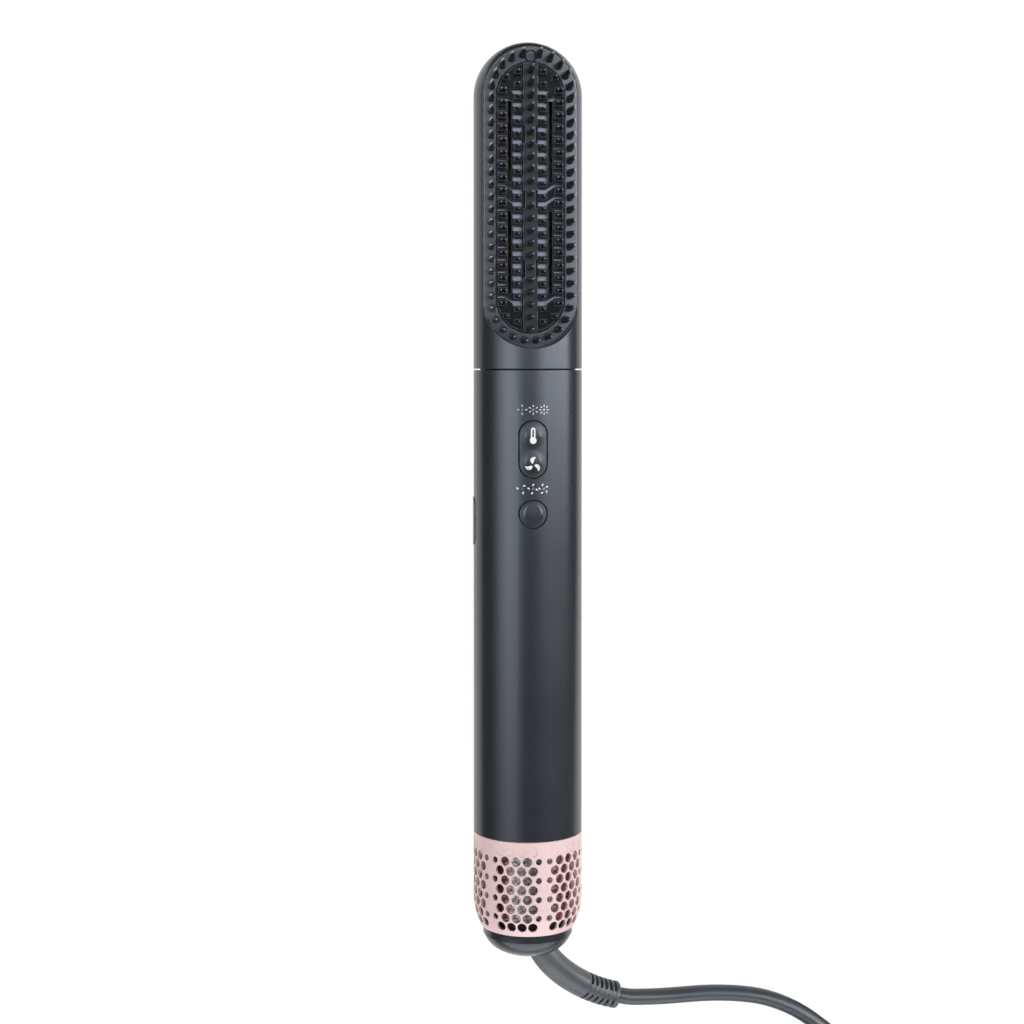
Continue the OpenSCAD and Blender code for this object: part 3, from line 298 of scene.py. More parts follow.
rings = round(coil_turns * 24)
coil_way = Vector((sin(radians(coil_start)), -cos(radians(coil_start)), 0))
wound = [coil_point(i * coil_turns / rings) for i in range(rings + 1)]
coil_join, coil_out = wound[0] - 8 * coil_way, wound[-1]
plug_height = 13
plug_entry = Vector((coil_out.x - 25, coil_out.y, plug_height))
lead_points = [boot_end, boot_end + 5 * cord_way] + [Vector(p) for p in (
    (47.5, -23.5, 4.1), (54, -23.7, 3.4), (61, -23.5, 3.1), (69, -23.2, 3), (77, -23.3, 3), (86, -24.1, 3),
    (94, -25.7, 3), (102, -28.7, 3), (109, -32.6, 3), (115, -37, 3), (120.8, -41.7, 3), (125.4, -45.9, 3))]
lead_points += [coil_join - 5 * coil_way, coil_join] + wound
lead_points += [coil_out + Vector(step) for step in ((-6, 0, 0.3), (-11, 0, 1.7), (-15.5, 0, 3.1))]
lead_points += [Vector((coil_out.x - 18.5, coil_out.y, plug_height)), plug_entry]


def smooth_line(points, steps):
    """A curve through every point, with even steps between them."""
    line = []
    for i in range(len(points) - 1):
        before, a = points[max(i - 1, 0)], points[i]
        b, after = points[i + 1], points[min(i + 2, len(points) - 1)]
        for k in range(steps):
            t = k / steps
            line.append(0.5 * (2 * a + (b - before) * t + (2 * before - 5 * a + 4 * b - after) * t ** 2
                               + (3 * a - before - 3 * b + after) * t ** 3))
    return line + [points[-1]]


def laid_out(points):
    """Millimetres from the tail's end to the shared frame."""
    return [Vector((p[0], p[1] + TAIL_END, p[2])) * MM for p in points]


lead_line = laid_out(smooth_line(lead_points, 3))
spline_data = bpy.data.curves.new("mains_lead", "CURVE")
spline_data.dimensions = "3D"
spline = spline_data.splines.new("POLY")
spline.points.add(len(lead_line) - 1)
for point, place in zip(spline.points, lead_line):
    point.co = (*place, 1)
spline_data.bevel_depth = cord_d / 2 * MM
spline_data.bevel_resolution = 5
spline_data.use_fill_caps = True
mains_lead = bpy.data.objects.new("mains_lead", spline_data)
bpy.context.scene.collection.objects.link(mains_lead)
sheath = finish("lead sheath", (0.030, 0.034, 0.038), (0.34, 0.42), drift=0.08, patch=90, grain=1800, relief=0.02)
spline_data.materials.append(sheath)
dress(sheath, "inner_lead")
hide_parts("power_lead", "lead_coil")

# Strain relief: a soft rubber sleeve moulded on the lead. Pairs of slots from both sides leave a
# core and two spines, so that it bends in an even curve.
boot_root, boot_way = Vector((0, 9.5, 20)), unit((0.53, -0.837, -0.14))
boot_bend = boot_root + 12.5 * boot_way
boot_r, core_r, spine = 5.0, 3.6, 1.75
slot_pitch, slot_count, last_slot = 2.5, 6, 3
boot_roll = radians(-11)
boot_sides = 72


def bezier(a, b, c, d, t):
    return (1 - t) ** 3 * a + 3 * (1 - t) ** 2 * t * b + 3 * (1 - t) * t * t * c + t ** 3 * d


boot_line = [boot_root + d * boot_way for d in (0, 2, 2.1, 5, 9)]
boot_line += [bezier(boot_bend, boot_bend + 9 * boot_way, boot_end - 12.5 * cord_way, boot_end, i / 120)
              for i in range(121)]
boot_run = [0.0]
for a, b in zip(boot_line, boot_line[1:]):
    boot_run.append(boot_run[-1] + (b - a).length)
boot_long = boot_run[-1]


def boot_at(s):
    """The boot's middle and its way at this length along it."""
    i = max(j for j in range(len(boot_run) - 1) if boot_run[j] <= s + 1e-9)
    step = (boot_line[i + 1] - boot_line[i]).normalized()
    return boot_line[i] + (s - boot_run[i]) * step, step


# Each station is its length along the boot, how much it swells there and how deep the slots are.
stations = [(0, 1.2, 0), (1.8, 1.2, 0), (2.0, 1.1, 0), (2.1, 0, 0)]
stations += [(s, 0, 0) for s in range(4, int(boot_long - last_slot - (slot_count - 1) * slot_pitch - 1), 2)]
half_slot = [(0.68, 0, 0), (0.56, -0.04, 0), (0.5, -0.14, 0), (0.49, 0, 0.94), (0.4, 0, 1)]
for k in reversed(range(slot_count)):
    middle = boot_long - last_slot - k * slot_pitch
    stations += [(middle - off, swell, depth) for off, swell, depth in half_slot]
    stations += [(middle + off, swell, depth) for off, swell, depth in reversed(half_slot)]
stations += [(boot_long - back, swell, 0) for back, swell in (
    (1.1, 0), (0.7, -0.12), (0.3, -0.4), (0.08, -0.8), (0, -1.2))]
boot_verts, boot_faces = [], []
for s, swell, depth in stations:
    middle, step = boot_at(min(s, boot_long - 0.01))
    across = Vector((0, 0, 1)).cross(step).normalized()
    over = step.cross(across)
    for k in range(boot_sides):
        a = 2 * pi * k / boot_sides
        in_slot = min(boot_r, max(core_r, spine / max(abs(cos(a)), 0.001)))
        radius = (boot_r + swell) * (1 - depth) + in_slot * depth
        rolled = a + boot_roll
        boot_verts.append(middle + radius * (cos(rolled) * across + sin(rolled) * over))
for i in range(0, (len(stations) - 1) * boot_sides, boot_sides):
    for k in range(boot_sides):
        j = (k + 1) % boot_sides
        boot_faces.append((i + k, i + j, i + boot_sides + j, i + boot_sides + k))
boot_faces.append(tuple(reversed(range(boot_sides))))
boot_faces.append(tuple(range((len(stations) - 1) * boot_sides, len(stations) * boot_sides)))


def settle(mesh, name, body, sharp=35):
    """A piece from a closed mesh, smooth except at edges sharper than the given angle."""
    solid = bmesh.new()
    solid.from_mesh(mesh)
    bmesh.ops.remove_doubles(solid, verts=solid.verts, dist=1e-7)
    bmesh.ops.recalc_face_normals(solid, faces=solid.faces)
    for face in solid.faces:
        face.smooth = True
    for edge in solid.edges:
        edge.smooth = len(edge.link_faces) == 2 and edge.calc_face_angle(0) < radians(sharp)
    solid.to_mesh(mesh)
    solid.free()
    made = bpy.data.objects.new(name, mesh)
    bpy.context.scene.collection.objects.link(made)
    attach(made, body)
    return made


boot_rubber = finish("boot rubber", (0.032, 0.036, 0.040), (0.36, 0.46), drift=0.08, patch=120, grain=3000,
                     relief=0.03)
boot_mesh = bpy.data.meshes.new("lead_boot")
boot_mesh.from_pydata(laid_out(boot_verts), [], boot_faces)
boot_mesh.materials.append(boot_rubber)
lead_boot = settle(boot_mesh, "lead_boot", "handle", sharp=40)
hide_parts("strain_relief")

# Plug and tie: a two-pin plug of the boot's rubber, moulded on the lead, with plated brass pins, and
# a black strip tied round the coil. The lead is attached to the handle here.
dress(boot_rubber, "plug_body")
dress(finish("plug pins", (0.72, 0.70, 0.66), (0.16, 0.26), drift=0.04, Metallic=1.0), "plug_pins")
dress(finish("coil tie", (0.02, 0.02, 0.02), (0.45, 0.6), relief=0.1), "lead_tie")
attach(mains_lead, "handle")


# Head casing: injection-moulded tube with a dome end and a flat for the brush, in a satin
# soft-touch coat. It slides off the handle with everything on it.
def satin_coat(name, edge):
    return finish(name, (0.0095, 0.0105, 0.0120), (0.25, 0.29), drift=0.05, patch=25, grain=6000, relief=0.012,
                  edge=edge, Specular_Tint=(0.93, 0.99, 1.08, 1))


casing = satin_coat("casing coat", 0.3)
dress(casing, "head_shell")


# Rim plate, centre ridge and tip cover: dark nylon mouldings snapped into the flat. Their edges carry a
# painted highlight: a paler colour painted along each edge.
def painted_edge_highlight():
    """Paints a highlight along edges in a second colour. The edges are found by the angle between the
    rounded and the plain normal."""
    group, given, made = new_group(
        "painted edge highlight", "ShaderNodeTree",
        (("Colour", "Color"), ("Rubbed colour", "Color"), ("Rounded normal", "Vector"), ("Full at", "Float")),
        (("Colour", "Color"),))
    nodes, links = group.nodes, group.links
    plain, turn, mask, highlight_node = (nodes.new("ShaderNode" + kind) for kind in (
        "NewGeometry", "VectorMath", "MapRange", "Mix"))
    turn.operation = "DOT_PRODUCT"
    mask.inputs["From Min"].default_value = 0.995
    highlight_node.data_type = "RGBA"
    links.new(plain.outputs["Normal"], turn.inputs[0])
    links.new(given.outputs["Rounded normal"], turn.inputs[1])
    links.new(turn.outputs["Value"], mask.inputs["Value"])
    links.new(given.outputs["Full at"], mask.inputs["From Max"])
    links.new(mask.outputs["Result"], highlight_node.inputs["Factor"])
    links.new(given.outputs["Colour"], highlight_node.inputs["A"])
    links.new(given.outputs["Rubbed colour"], highlight_node.inputs["B"])
    links.new(highlight_node.outputs["Result"], made.inputs["Colour"])
    return group


PAINTED_EDGE_HIGHLIGHT = painted_edge_highlight()


def recolour(material, colour_in, colour_out):
    """Leads a finish's colour through further nodes on its way to the shader."""
    base = material.node_tree.nodes["Principled BSDF"].inputs["Base Color"]
    material.node_tree.links.new(base.links[0].from_socket, colour_in)
    material.node_tree.links.new(colour_out, base)


def paint_edge_highlights(material, colour, full_at=0.85):
    nodes, links = material.node_tree.nodes, material.node_tree.links
    highlight_node = nodes.new("ShaderNodeGroup")
    highlight_node.node_tree = PAINTED_EDGE_HIGHLIGHT
    highlight_node.inputs["Rubbed colour"].default_value = (*colour, 1)
    highlight_node.inputs["Full at"].default_value = full_at
    links.new(nodes["Bevel"].outputs["Normal"], highlight_node.inputs["Rounded normal"])
    recolour(material, highlight_node.inputs["Colour"], highlight_node.outputs["Colour"])


rim_nylon = finish("rim nylon", (0.020, 0.022, 0.025), (0.28, 0.34), drift=0.06, patch=80, grain=5000, relief=0.02,
                   edge=0.35, Specular_Tint=(0.95, 0.99, 1.06, 1))
# The plate is slightly crowned: it falls off with the square of the distance from its middle line.
rim_tree = rim_nylon.node_tree
where, sides, crown = (rim_tree.nodes.new("ShaderNode" + kind) for kind in ("TexCoord", "SeparateXYZ", "Bump"))
rim_tree.links.new(where.outputs["Object"], sides.inputs[0])
rim_tree.links.new(calc(rim_tree, "POWER", sides.outputs["X"], 2), crown.inputs["Height"])
crown.invert = True
crown.inputs["Distance"].default_value = 4.2
crown.inputs["Strength"].default_value = 1
rim_tree.links.new(rim_tree.nodes["Bevel"].outputs["Normal"], crown.inputs["Normal"])
rim_tree.links.new(crown.outputs["Normal"], rim_tree.nodes["Bump"].inputs["Normal"])
# Painted highlight: a pale line painted along the plate's edges.
paint_edge_highlights(rim_nylon, (0.32, 0.335, 0.355))
dress(rim_nylon, "bristle_rim", "tip_cover")
ridge_nylon = finish("ridge nylon", (0.014, 0.0155, 0.0175), (0.34, 0.40), drift=0.06, patch=80, grain=5000,
                     relief=0.02, edge=0.3, Specular_IOR_Level=0.22)
# Painted highlight: a pale line painted along the ridge's edges.
paint_edge_highlights(ridge_nylon, (0.24, 0.25, 0.27))
dress(ridge_nylon, "centre_ridge")

# Bristles: 54 round the flat and 22 on the ridge, moulded in nylon with the plates that carry them.
# Each is a slim taper with a round end and leans a little outwards.
FLAT_Y0, FLAT_LEN, FLAT_TOP = 73.15, 75.2, 30.0
row_w, row_pitch, row_count, end_count = 14.4, 4.47, 17, 5
ridge_first, ridge_last, ridge_count = 62.9, 156.6, 22
foot_z = FLAT_TOP - 0.02


def moulded_bristles():
    """A slim round-ended taper on every point of a mesh, along the point's own aim."""
    tree, given, made = new_group(
        "moulded bristles", "GeometryNodeTree",
        (("Places", "Geometry"), ("Foot radius", "Float", 0.00135), ("End radius", "Float", 0.00085),
         ("Length", "Float", 0.0125), ("Rings", "Int", 7), ("Sides", "Int", 12), ("Material", "Material")),
        (("Bristles", "Geometry"),))
    nodes, links = tree.nodes, tree.links

    def math(operation, *values):
        return calc(tree, operation, *values)

    line = nodes.new("GeometryNodeCurvePrimitiveLine")
    rings = nodes.new("GeometryNodeResampleCurve")
    links.new(line.outputs["Curve"], rings.inputs["Curve"])
    links.new(given.outputs["Rings"], rings.inputs["Count"])
    share = nodes.new("GeometryNodeSplineParameter").outputs["Factor"]
    height = math("SUBTRACT", 1, math("POWER", math("SUBTRACT", 1, share), 3))
    length, foot, end = (given.outputs[name] for name in ("Length", "Foot radius", "End radius"))
    rise = math("MULTIPLY", height, length)
    beyond = math("DIVIDE", math("MAXIMUM", math("SUBTRACT", rise, math("SUBTRACT", length, end)), 0), end)
    round_end = math("SQRT", math("MAXIMUM", math("SUBTRACT", 1, math("MULTIPLY", beyond, beyond)), 0.01))
    taper = math("MULTIPLY_ADD", math("SUBTRACT", end, foot), height, foot)
    at = nodes.new("ShaderNodeCombineXYZ")
    links.new(rise, at.inputs["Z"])
    placed = nodes.new("GeometryNodeSetPosition")
    links.new(rings.outputs["Curve"], placed.inputs["Geometry"])
    links.new(at.outputs[0], placed.inputs["Position"])
    marked = nodes.new("GeometryNodeStoreNamedAttribute")
    marked.inputs["Name"].default_value = "tip"
    links.new(placed.outputs["Geometry"], marked.inputs["Geometry"])
    links.new(share, marked.inputs["Value"])
    circle = nodes.new("GeometryNodeCurvePrimitiveCircle")
    circle.inputs["Radius"].default_value = 1
    links.new(given.outputs["Sides"], circle.inputs["Resolution"])
    skin = nodes.new("GeometryNodeCurveToMesh")
    links.new(marked.outputs["Geometry"], skin.inputs["Curve"])
    links.new(math("MULTIPLY", taper, round_end), skin.inputs["Scale"])
    links.new(circle.outputs["Curve"], skin.inputs["Profile Curve"])
    skin.inputs["Fill Caps"].default_value = True
    aim = nodes.new("GeometryNodeInputNamedAttribute")
    aim.data_type = "FLOAT_VECTOR"
    aim.inputs["Name"].default_value = "aim"
    turn = nodes.new("FunctionNodeAlignRotationToVector")
    turn.axis = "Z"
    links.new(aim.outputs["Attribute"], turn.inputs["Vector"])
    stand = nodes.new("GeometryNodeInstanceOnPoints")
    links.new(given.outputs["Places"], stand.inputs["Points"])
    links.new(skin.outputs["Mesh"], stand.inputs["Instance"])
    links.new(turn.outputs["Rotation"], stand.inputs["Rotation"])
    real = nodes.new("GeometryNodeRealizeInstances")
    links.new(stand.outputs["Instances"], real.inputs["Geometry"])
    coated = nodes.new("GeometryNodeSetMaterial")
    links.new(real.outputs["Geometry"], coated.inputs["Geometry"])
    links.new(given.outputs["Material"], coated.inputs["Material"])
    links.new(coated.outputs["Geometry"], made.inputs["Bristles"])
    return tree


BRISTLES = moulded_bristles()


def grow(name, places, aims, material, body, slot, **sizes):
    """Runs the bristle tree on the given places (mm) and keeps its result as one plain mesh."""
    seeds = bpy.data.meshes.new(name + "_places")
    seeds.from_pydata([Vector(p) * MM for p in places], [], [])
    aim = seeds.attributes.new("aim", "FLOAT_VECTOR", "POINT")
    for i, way in enumerate(aims):
        aim.data[i].vector = way
    bed = bpy.data.objects.new(name + "_places", seeds)
    bpy.context.scene.collection.objects.link(bed)
    tree = bed.modifiers.new("bristles", "NODES")
    tree.node_group = BRISTLES
    sockets = {item.name: item.identifier for item in BRISTLES.interface.items_tree if item.in_out == "INPUT"}
    tree[sockets["Material"]] = material
    for size, value in sizes.items():
        tree[sockets[size.replace("_", " ")]] = value
    grown = bpy.data.meshes.new_from_object(bed.evaluated_get(bpy.context.evaluated_depsgraph_get()))
    bed.modifiers.clear()
    bpy.data.objects.remove(bed)
    grown.name = name
    return settle(grown, name, body, sharp=60)


def bristle_aim(y, splay):
    """The splay is a slope to the side. The lean grows towards the tip."""
    lean = radians(2.5) * (y - FLAT_Y0 - 20) / (FLAT_LEN - 20)
    return Vector((sin(radians(splay)), sin(lean), 1)).normalized()


def painted_tip_highlight():
    """Paints a highlight on the round ends: mixes in a pale colour by the share of the length."""
    group, given, made = new_group("painted tip highlight", "ShaderNodeTree", (
        ("Colour", "Color"), ("Pale colour", "Color"), ("Start", "Float")), (("Colour", "Color"),))
    nodes, links = group.nodes, group.links
    share, edge, highlight_node = (nodes.new("ShaderNode" + kind) for kind in ("Attribute", "MapRange", "Mix"))
    share.attribute_name = "tip"
    edge.interpolation_type = "SMOOTHSTEP"
    edge.inputs["From Max"].default_value = 0.98
    highlight_node.data_type = "RGBA"
    links.new(share.outputs["Fac"], edge.inputs["Value"])
    links.new(given.outputs["Start"], edge.inputs["From Min"])
    links.new(edge.outputs["Result"], highlight_node.inputs["Factor"])
    links.new(given.outputs["Colour"], highlight_node.inputs["A"])
    links.new(given.outputs["Pale colour"], highlight_node.inputs["B"])
    links.new(highlight_node.outputs["Result"], made.inputs["Colour"])
    return group


PAINTED_TIP_HIGHLIGHT = painted_tip_highlight()


def paint_tip_highlights(material, colour, start):
    pale = material.node_tree.nodes.new("ShaderNodeGroup")
    pale.node_tree = PAINTED_TIP_HIGHLIGHT
    pale.inputs["Pale colour"].default_value = (*colour, 1)
    pale.inputs["Start"].default_value = start
    recolour(material, pale.inputs["Colour"], pale.outputs["Colour"])


bristle_nylon = finish("bristle nylon", (0.010, 0.011, 0.013), (0.12, 0.18), drift=0.08, patch=200, grain=9000,
                       relief=0.01, Specular_IOR_Level=0.85)
# Painted highlight: the bristles' round ends are painted pale in place of glints.
paint_tip_highlights(bristle_nylon, (0.30, 0.32, 0.345), 0.72)


def end_angles(first, parts):
    """Where the bristles stand in a quarter of the rim's round end."""
    return [radians(90 * (i + first) / parts) for i in range(end_count)]


row = [(row_w * sin(a), FLAT_Y0 - row_w * cos(a)) for a in end_angles(0.5, 5.1)]
row += [(row_w, FLAT_Y0 + FLAT_LEN / 2 + (i - row_count // 2) * row_pitch) for i in range(row_count)]
row += [(row_w * cos(a), FLAT_Y0 + FLAT_LEN + row_w * sin(a)) for a in end_angles(0.6, 5.3)]
places = [(side * x, y, foot_z) for side in (-1, 1) for x, y in row]
outer = grow("outer_bristles", places, [bristle_aim(y, 3 * x / row_w) for x, y, z in places], bristle_nylon,
             "head", "bristle", Foot_radius=1.5 * MM, End_radius=0.85 * MM, Length=12.5 * MM)
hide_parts("rim_bristles")
places = [(0, ridge_first + k * (ridge_last - ridge_first) / (ridge_count - 1), foot_z) for k in range(ridge_count)]
inner = grow("ridge_row", places, [bristle_aim(y, 0) for x, y, z in places], bristle_nylon,
             "head", "bristle", Foot_radius=1.3 * MM, End_radius=0.85 * MM, Length=11.8 * MM)
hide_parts("ridge_bristles")

# Comb insert: black heat-proof moulding, glossier than the casing, clamped under the ridge. Every
# tooth ends in a round nib. The nibs of the outer rows stand in pairs, and four stand at the corners.
comb_black = finish("comb black", (0.004, 0.0045, 0.005), (0.16, 0.24), drift=0.05, patch=90, grain=3000,
                    relief=0.01, edge=0.3, Specular_IOR_Level=0.09)
# Painted highlight: a pale line painted along the comb's edges.
paint_edge_highlights(comb_black, (0.17, 0.175, 0.19))
dress(comb_black, "comb_insert")
nib_black = finish("nib black", (0.004, 0.0045, 0.005), (0.12, 0.18), drift=0.05, patch=90, grain=3000,
                   relief=0.01, Specular_IOR_Level=0.7)
# Painted highlight: the nibs' round ends are painted pale in place of glints.
paint_tip_highlights(nib_black, (0.42, 0.44, 0.47), 0.6)
comb_pitch, first_open, last_open, nib_z = 4.53, 144.75, 16, 31.38
inner_x, outer_x, outer_pair, corner_x = 4.625, 10.3, 0.8, 8.9
places = []
for side in (-1, 1):
    places += [(side * inner_x, first_open + (0.5 - k) * comb_pitch, nib_z) for k in range(-2, last_open + 3)]
    places += [(side * (outer_x + off), first_open - k * comb_pitch, nib_z)
               for k in range(-1, last_open + 1) for off in (-outer_pair, outer_pair)]
    places += [(side * corner_x, first_open + n * comb_pitch, nib_z) for n in (2.05, -last_open - 1.05)]
nibs = grow("comb_tips", places, [Vector((0, 0, 1))] * len(places), nib_black, "head", "comb",
            Foot_radius=0.66 * MM, End_radius=0.42 * MM, Length=6.42 * MM)
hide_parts("comb_nibs")

# Heat plate: coated aluminium behind the comb. It warms the hair and reflects pale between the bars.
# Steel screws hold it, and a half tube of mica board keeps its heat off the casing.
dress(finish("plate coat", (0.13, 0.14, 0.17), (0.22, 0.3), drift=0.05, Metallic=0.85), "heat_plate")
steel = finish("steel", (0.55, 0.55, 0.56), (0.25, 0.4), drift=0.06, Metallic=1.0)
dress(steel, "tip_screw", "ridge_screws")
mica = finish("mica board", (0.6, 0.54, 0.4), (0.35, 0.65), drift=0.3, patch=350, relief=0.2)
dress(mica, "head_liner")

# Coupling: the head's spigot plugs into a ring in the handle's mouth, both moulded in black nylon.
# A red silicone ring on the spigot seals the joint.
inner_nylon = finish("black nylon", (0.008, 0.0085, 0.009), (0.40, 0.5), drift=0.06, Specular_IOR_Level=0.1)
# Painted shade: this black is partly the nylon's own and partly stands in for the shade in the seam between head
# and handle.
dress(inner_nylon, "head_spigot", "mouth_ring")
dress(finish("seal silicone", (0.25, 0.05, 0.04), (0.4, 0.5)), "head_seal")

# Handle casing: the same satin coat, also on side button and end dome. It carries the lamps' marks,
# six thin ivory inlays: suns for the heat and fans for the air, each with more rays or blades.
dress(casing, "handle_shell", "side_key", "end_dome")
ivory = finish("ivory ink", (0.53, 0.50, 0.47), (0.4, 0.5), drift=0.04, patch=400, grain=9000, relief=0.01)
BARREL_R = AXIS_Z = 20
SUNS_Y, FANS_Y, LAMP_STEP = 33.65, 5.35, 3.95


def inlay(name, outlines, height, material, body, proud=0.025, sunk=0.12, finest=0.5):
    """Thin closed patches that lie on a surface. Outlines are in mm seen from above, height gives
    the surface there."""
    patch = bmesh.new()
    for outline in outlines:
        ring = [patch.verts.new((x, y, 0)) for x, y in outline]
        patch.faces.new(ring)
    bmesh.ops.triangulate(patch, faces=patch.faces)
    bmesh.ops.subdivide_edges(patch, edges=[e for e in patch.edges if e.calc_length() > finest], cuts=1,
                              use_grid_fill=True)
    bmesh.ops.triangulate(patch, faces=patch.faces)
    lower = list(patch.faces)
    grown = bmesh.ops.extrude_face_region(patch, geom=lower, use_keep_orig=True)
    upper = {v for v in grown["geom"] if isinstance(v, bmesh.types.BMVert)}
    for vert in patch.verts:
        x, y = vert.co.x, vert.co.y
        vert.co = Vector((x, y, height(x, y) + (proud if vert in upper else -sunk))) * MM
    mesh = bpy.data.meshes.new(name)
    patch.to_mesh(mesh)
    patch.free()
    mesh.materials.append(material)
    return settle(mesh, name, body, sharp=50)


def on_barrel(x, y):
    return AXIS_Z + sqrt(BARREL_R ** 2 - x * x)


def turned(outline, degrees_round, x=0, y=0):
    a = radians(degrees_round)
    return [(x + u * cos(a) - v * sin(a), y + u * sin(a) + v * cos(a)) for u, v in outline]


ray = [(0.98, 0), (1.06, 0.1), (1.28, 0.16), (1.56, 0.15), (1.78, 0.08), (1.84, 0), (1.78, -0.08), (1.56, -0.15),
       (1.28, -0.16), (1.06, -0.1)]
petal = [(-0.5, -0.02), (-0.31, 0.17), (0.04, 0.27), (0.34, 0.21), (0.5, 0.0), (0.32, -0.23), (0.0, -0.24),
         (-0.31, -0.15)]
petal_turn, petal_ring, hub = -35, 1.46, (-0.22, -0.13)
suns, fans = [], []
for i, (rays, first) in enumerate(((4, 0), (6, 30), (8, 0))):
    suns += [turned(ray, first + 360 * k / rays, (i - 1) * LAMP_STEP, SUNS_Y) for k in range(rays)]
for i, (blades, first) in enumerate(((3, 52), (4, 83), (5, 31))):
    for k in range(blades):
        round_hub = first + 360 * k / blades
        fans.append(turned(petal, round_hub + petal_turn,
                           (i - 1) * LAMP_STEP + hub[0] + petal_ring * cos(radians(round_hub)),
                           FANS_Y + hub[1] + petal_ring * sin(radians(round_hub))))
inlay("heat_suns", suns, on_barrel, ivory, "handle")
inlay("air_fans", fans, on_barrel, ivory, "handle")

# Keys: the rocker is one moulding with two round finger dishes, a thermometer on the upper one and a
# three-bladed fan on the lower one. It tilts on a steel pin. The round power key has one dish.
ROCKER_Y, POWER_Y = 19.45, -3.85
cap_r, dish_off, ball_r, ball_z = 19.95, 4.7, 8, 27.4
stem_r, stem_top, bulb_r, bulb_y = 0.8, 7.0, 1.22, 3.17
half_stem = [(stem_r * cos(radians(a)), stem_top + stem_r * sin(radians(a))) for a in range(90, -1, -30)]
half_stem += [(stem_r, 4.2)]
half_stem += [(bulb_r * cos(radians(a)), bulb_y + bulb_r * sin(radians(a))) for a in range(48, -91, -23)]
half_stem += [(0, 1.95), (0, 4.28), (0.22, 4.36), (0.31, 4.6), (0.31, 6.95), (0.22, 7.17), (0, 7.26)]
thermometer = [half_stem, [(-x, y) for x, y in reversed(half_stem)]]
blade = [(-0.2, 0.34), (-0.72, 0.85), (-1.0, 1.49), (-0.88, 2.15), (-0.46, 2.6), (0.3, 2.82), (1.0, 2.78),
         (0.92, 2.5), (0.52, 2.12), (0.3, 1.5), (0.14, 0.92)]
fan_hub = -5.57


def on_rocker(x, y):
    """The key's front follows the barrel, with two dishes sunk into it as by a ball."""
    front = sqrt(cap_r ** 2 - x * x)
    for middle in (-dish_off, dish_off):
        off = x * x + (y - ROCKER_Y - middle) ** 2
        if off < ball_r ** 2:
            front = min(front, ball_z - sqrt(ball_r ** 2 - off))
    return AXIS_Z + front


def finger_pad():
    """Height that turns a ground-in dish into a soft pad with a low crown."""
    group, given, made = new_group("finger pad", "ShaderNodeTree", (
        ("Middle", "Vector"), ("Dish radius", "Float"), ("Dish depth", "Float"), ("Crown", "Float")),
        (("Height", "Float"),))
    nodes, links = group.nodes, group.links

    def math(operation, *values):
        return calc(group, operation, *values)

    place = nodes.new("ShaderNodeTexCoord")
    flat, off, far = (nodes.new("ShaderNodeVectorMath") for _ in range(3))
    flat.operation, off.operation, far.operation = "MULTIPLY", "SUBTRACT", "LENGTH"
    flat.inputs[1].default_value = (1 / MM, 1 / MM, 0)
    links.new(place.outputs["Object"], flat.inputs[0])
    links.new(flat.outputs[0], off.inputs[0])
    links.new(given.outputs["Middle"], off.inputs[1])
    links.new(off.outputs[0], far.inputs[0])
    reach, pad_radius = far.outputs["Value"], 4.8
    inside = math("MINIMUM", math("DIVIDE", reach, given.outputs["Dish radius"]), 1)
    fill = math("MULTIPLY", math("SUBTRACT", 1, math("MULTIPLY", inside, inside)), given.outputs["Dish depth"])
    wide = math("MINIMUM", math("DIVIDE", reach, pad_radius), 1)
    bowl = math("SUBTRACT", 1, math("MULTIPLY", wide, wide))
    crown = math("MULTIPLY", math("MULTIPLY", bowl, bowl), given.outputs["Crown"])
    links.new(math("ADD", fill, crown), made.inputs["Height"])
    return group


FINGER_PAD = finger_pad()


def key_coat(name, dishes, radius, depth, crowned):
    """The casing's coat with a soft pad over each dish. Dishes are given by their place along the
    styler."""
    coat = satin_coat(name, 0.2)
    nodes, links = coat.node_tree.nodes, coat.node_tree.links
    shaped = nodes["Bevel"].outputs["Normal"]
    for y in dishes:
        pad, crown = nodes.new("ShaderNodeGroup"), nodes.new("ShaderNodeBump")
        pad.node_tree = FINGER_PAD
        for socket, value in (("Middle", (0, y, 0)), ("Dish radius", radius), ("Dish depth", depth),
                              ("Crown", crowned)):
            pad.inputs[socket].default_value = value
        crown.inputs["Strength"].default_value = 1
        crown.inputs["Distance"].default_value = MM
        links.new(pad.outputs["Height"], crown.inputs["Height"])
        links.new(shaped, crown.inputs["Normal"])
        shaped = crown.outputs["Normal"]
    links.new(shaped, nodes["Bump"].inputs["Normal"])
    return coat


dress(key_coat("rocker coat", (ROCKER_Y - dish_off, ROCKER_Y + dish_off), radius=2.93, depth=0.555, crowned=0.27),
      "rocker_key")
dress(key_coat("power coat", (POWER_Y,), radius=3.59, depth=0.55, crowned=0.1), "power_key")
dress(steel, "rocker_pin")
inlay("heat_mark", [[(x, y + ROCKER_Y) for x, y in half] for half in thermometer], on_rocker, ivory, "rocker")
inlay("air_mark", [turned(blade, 120 * k, 0, ROCKER_Y + fan_hub) for k in range(3)], on_rocker, ivory, "rocker")

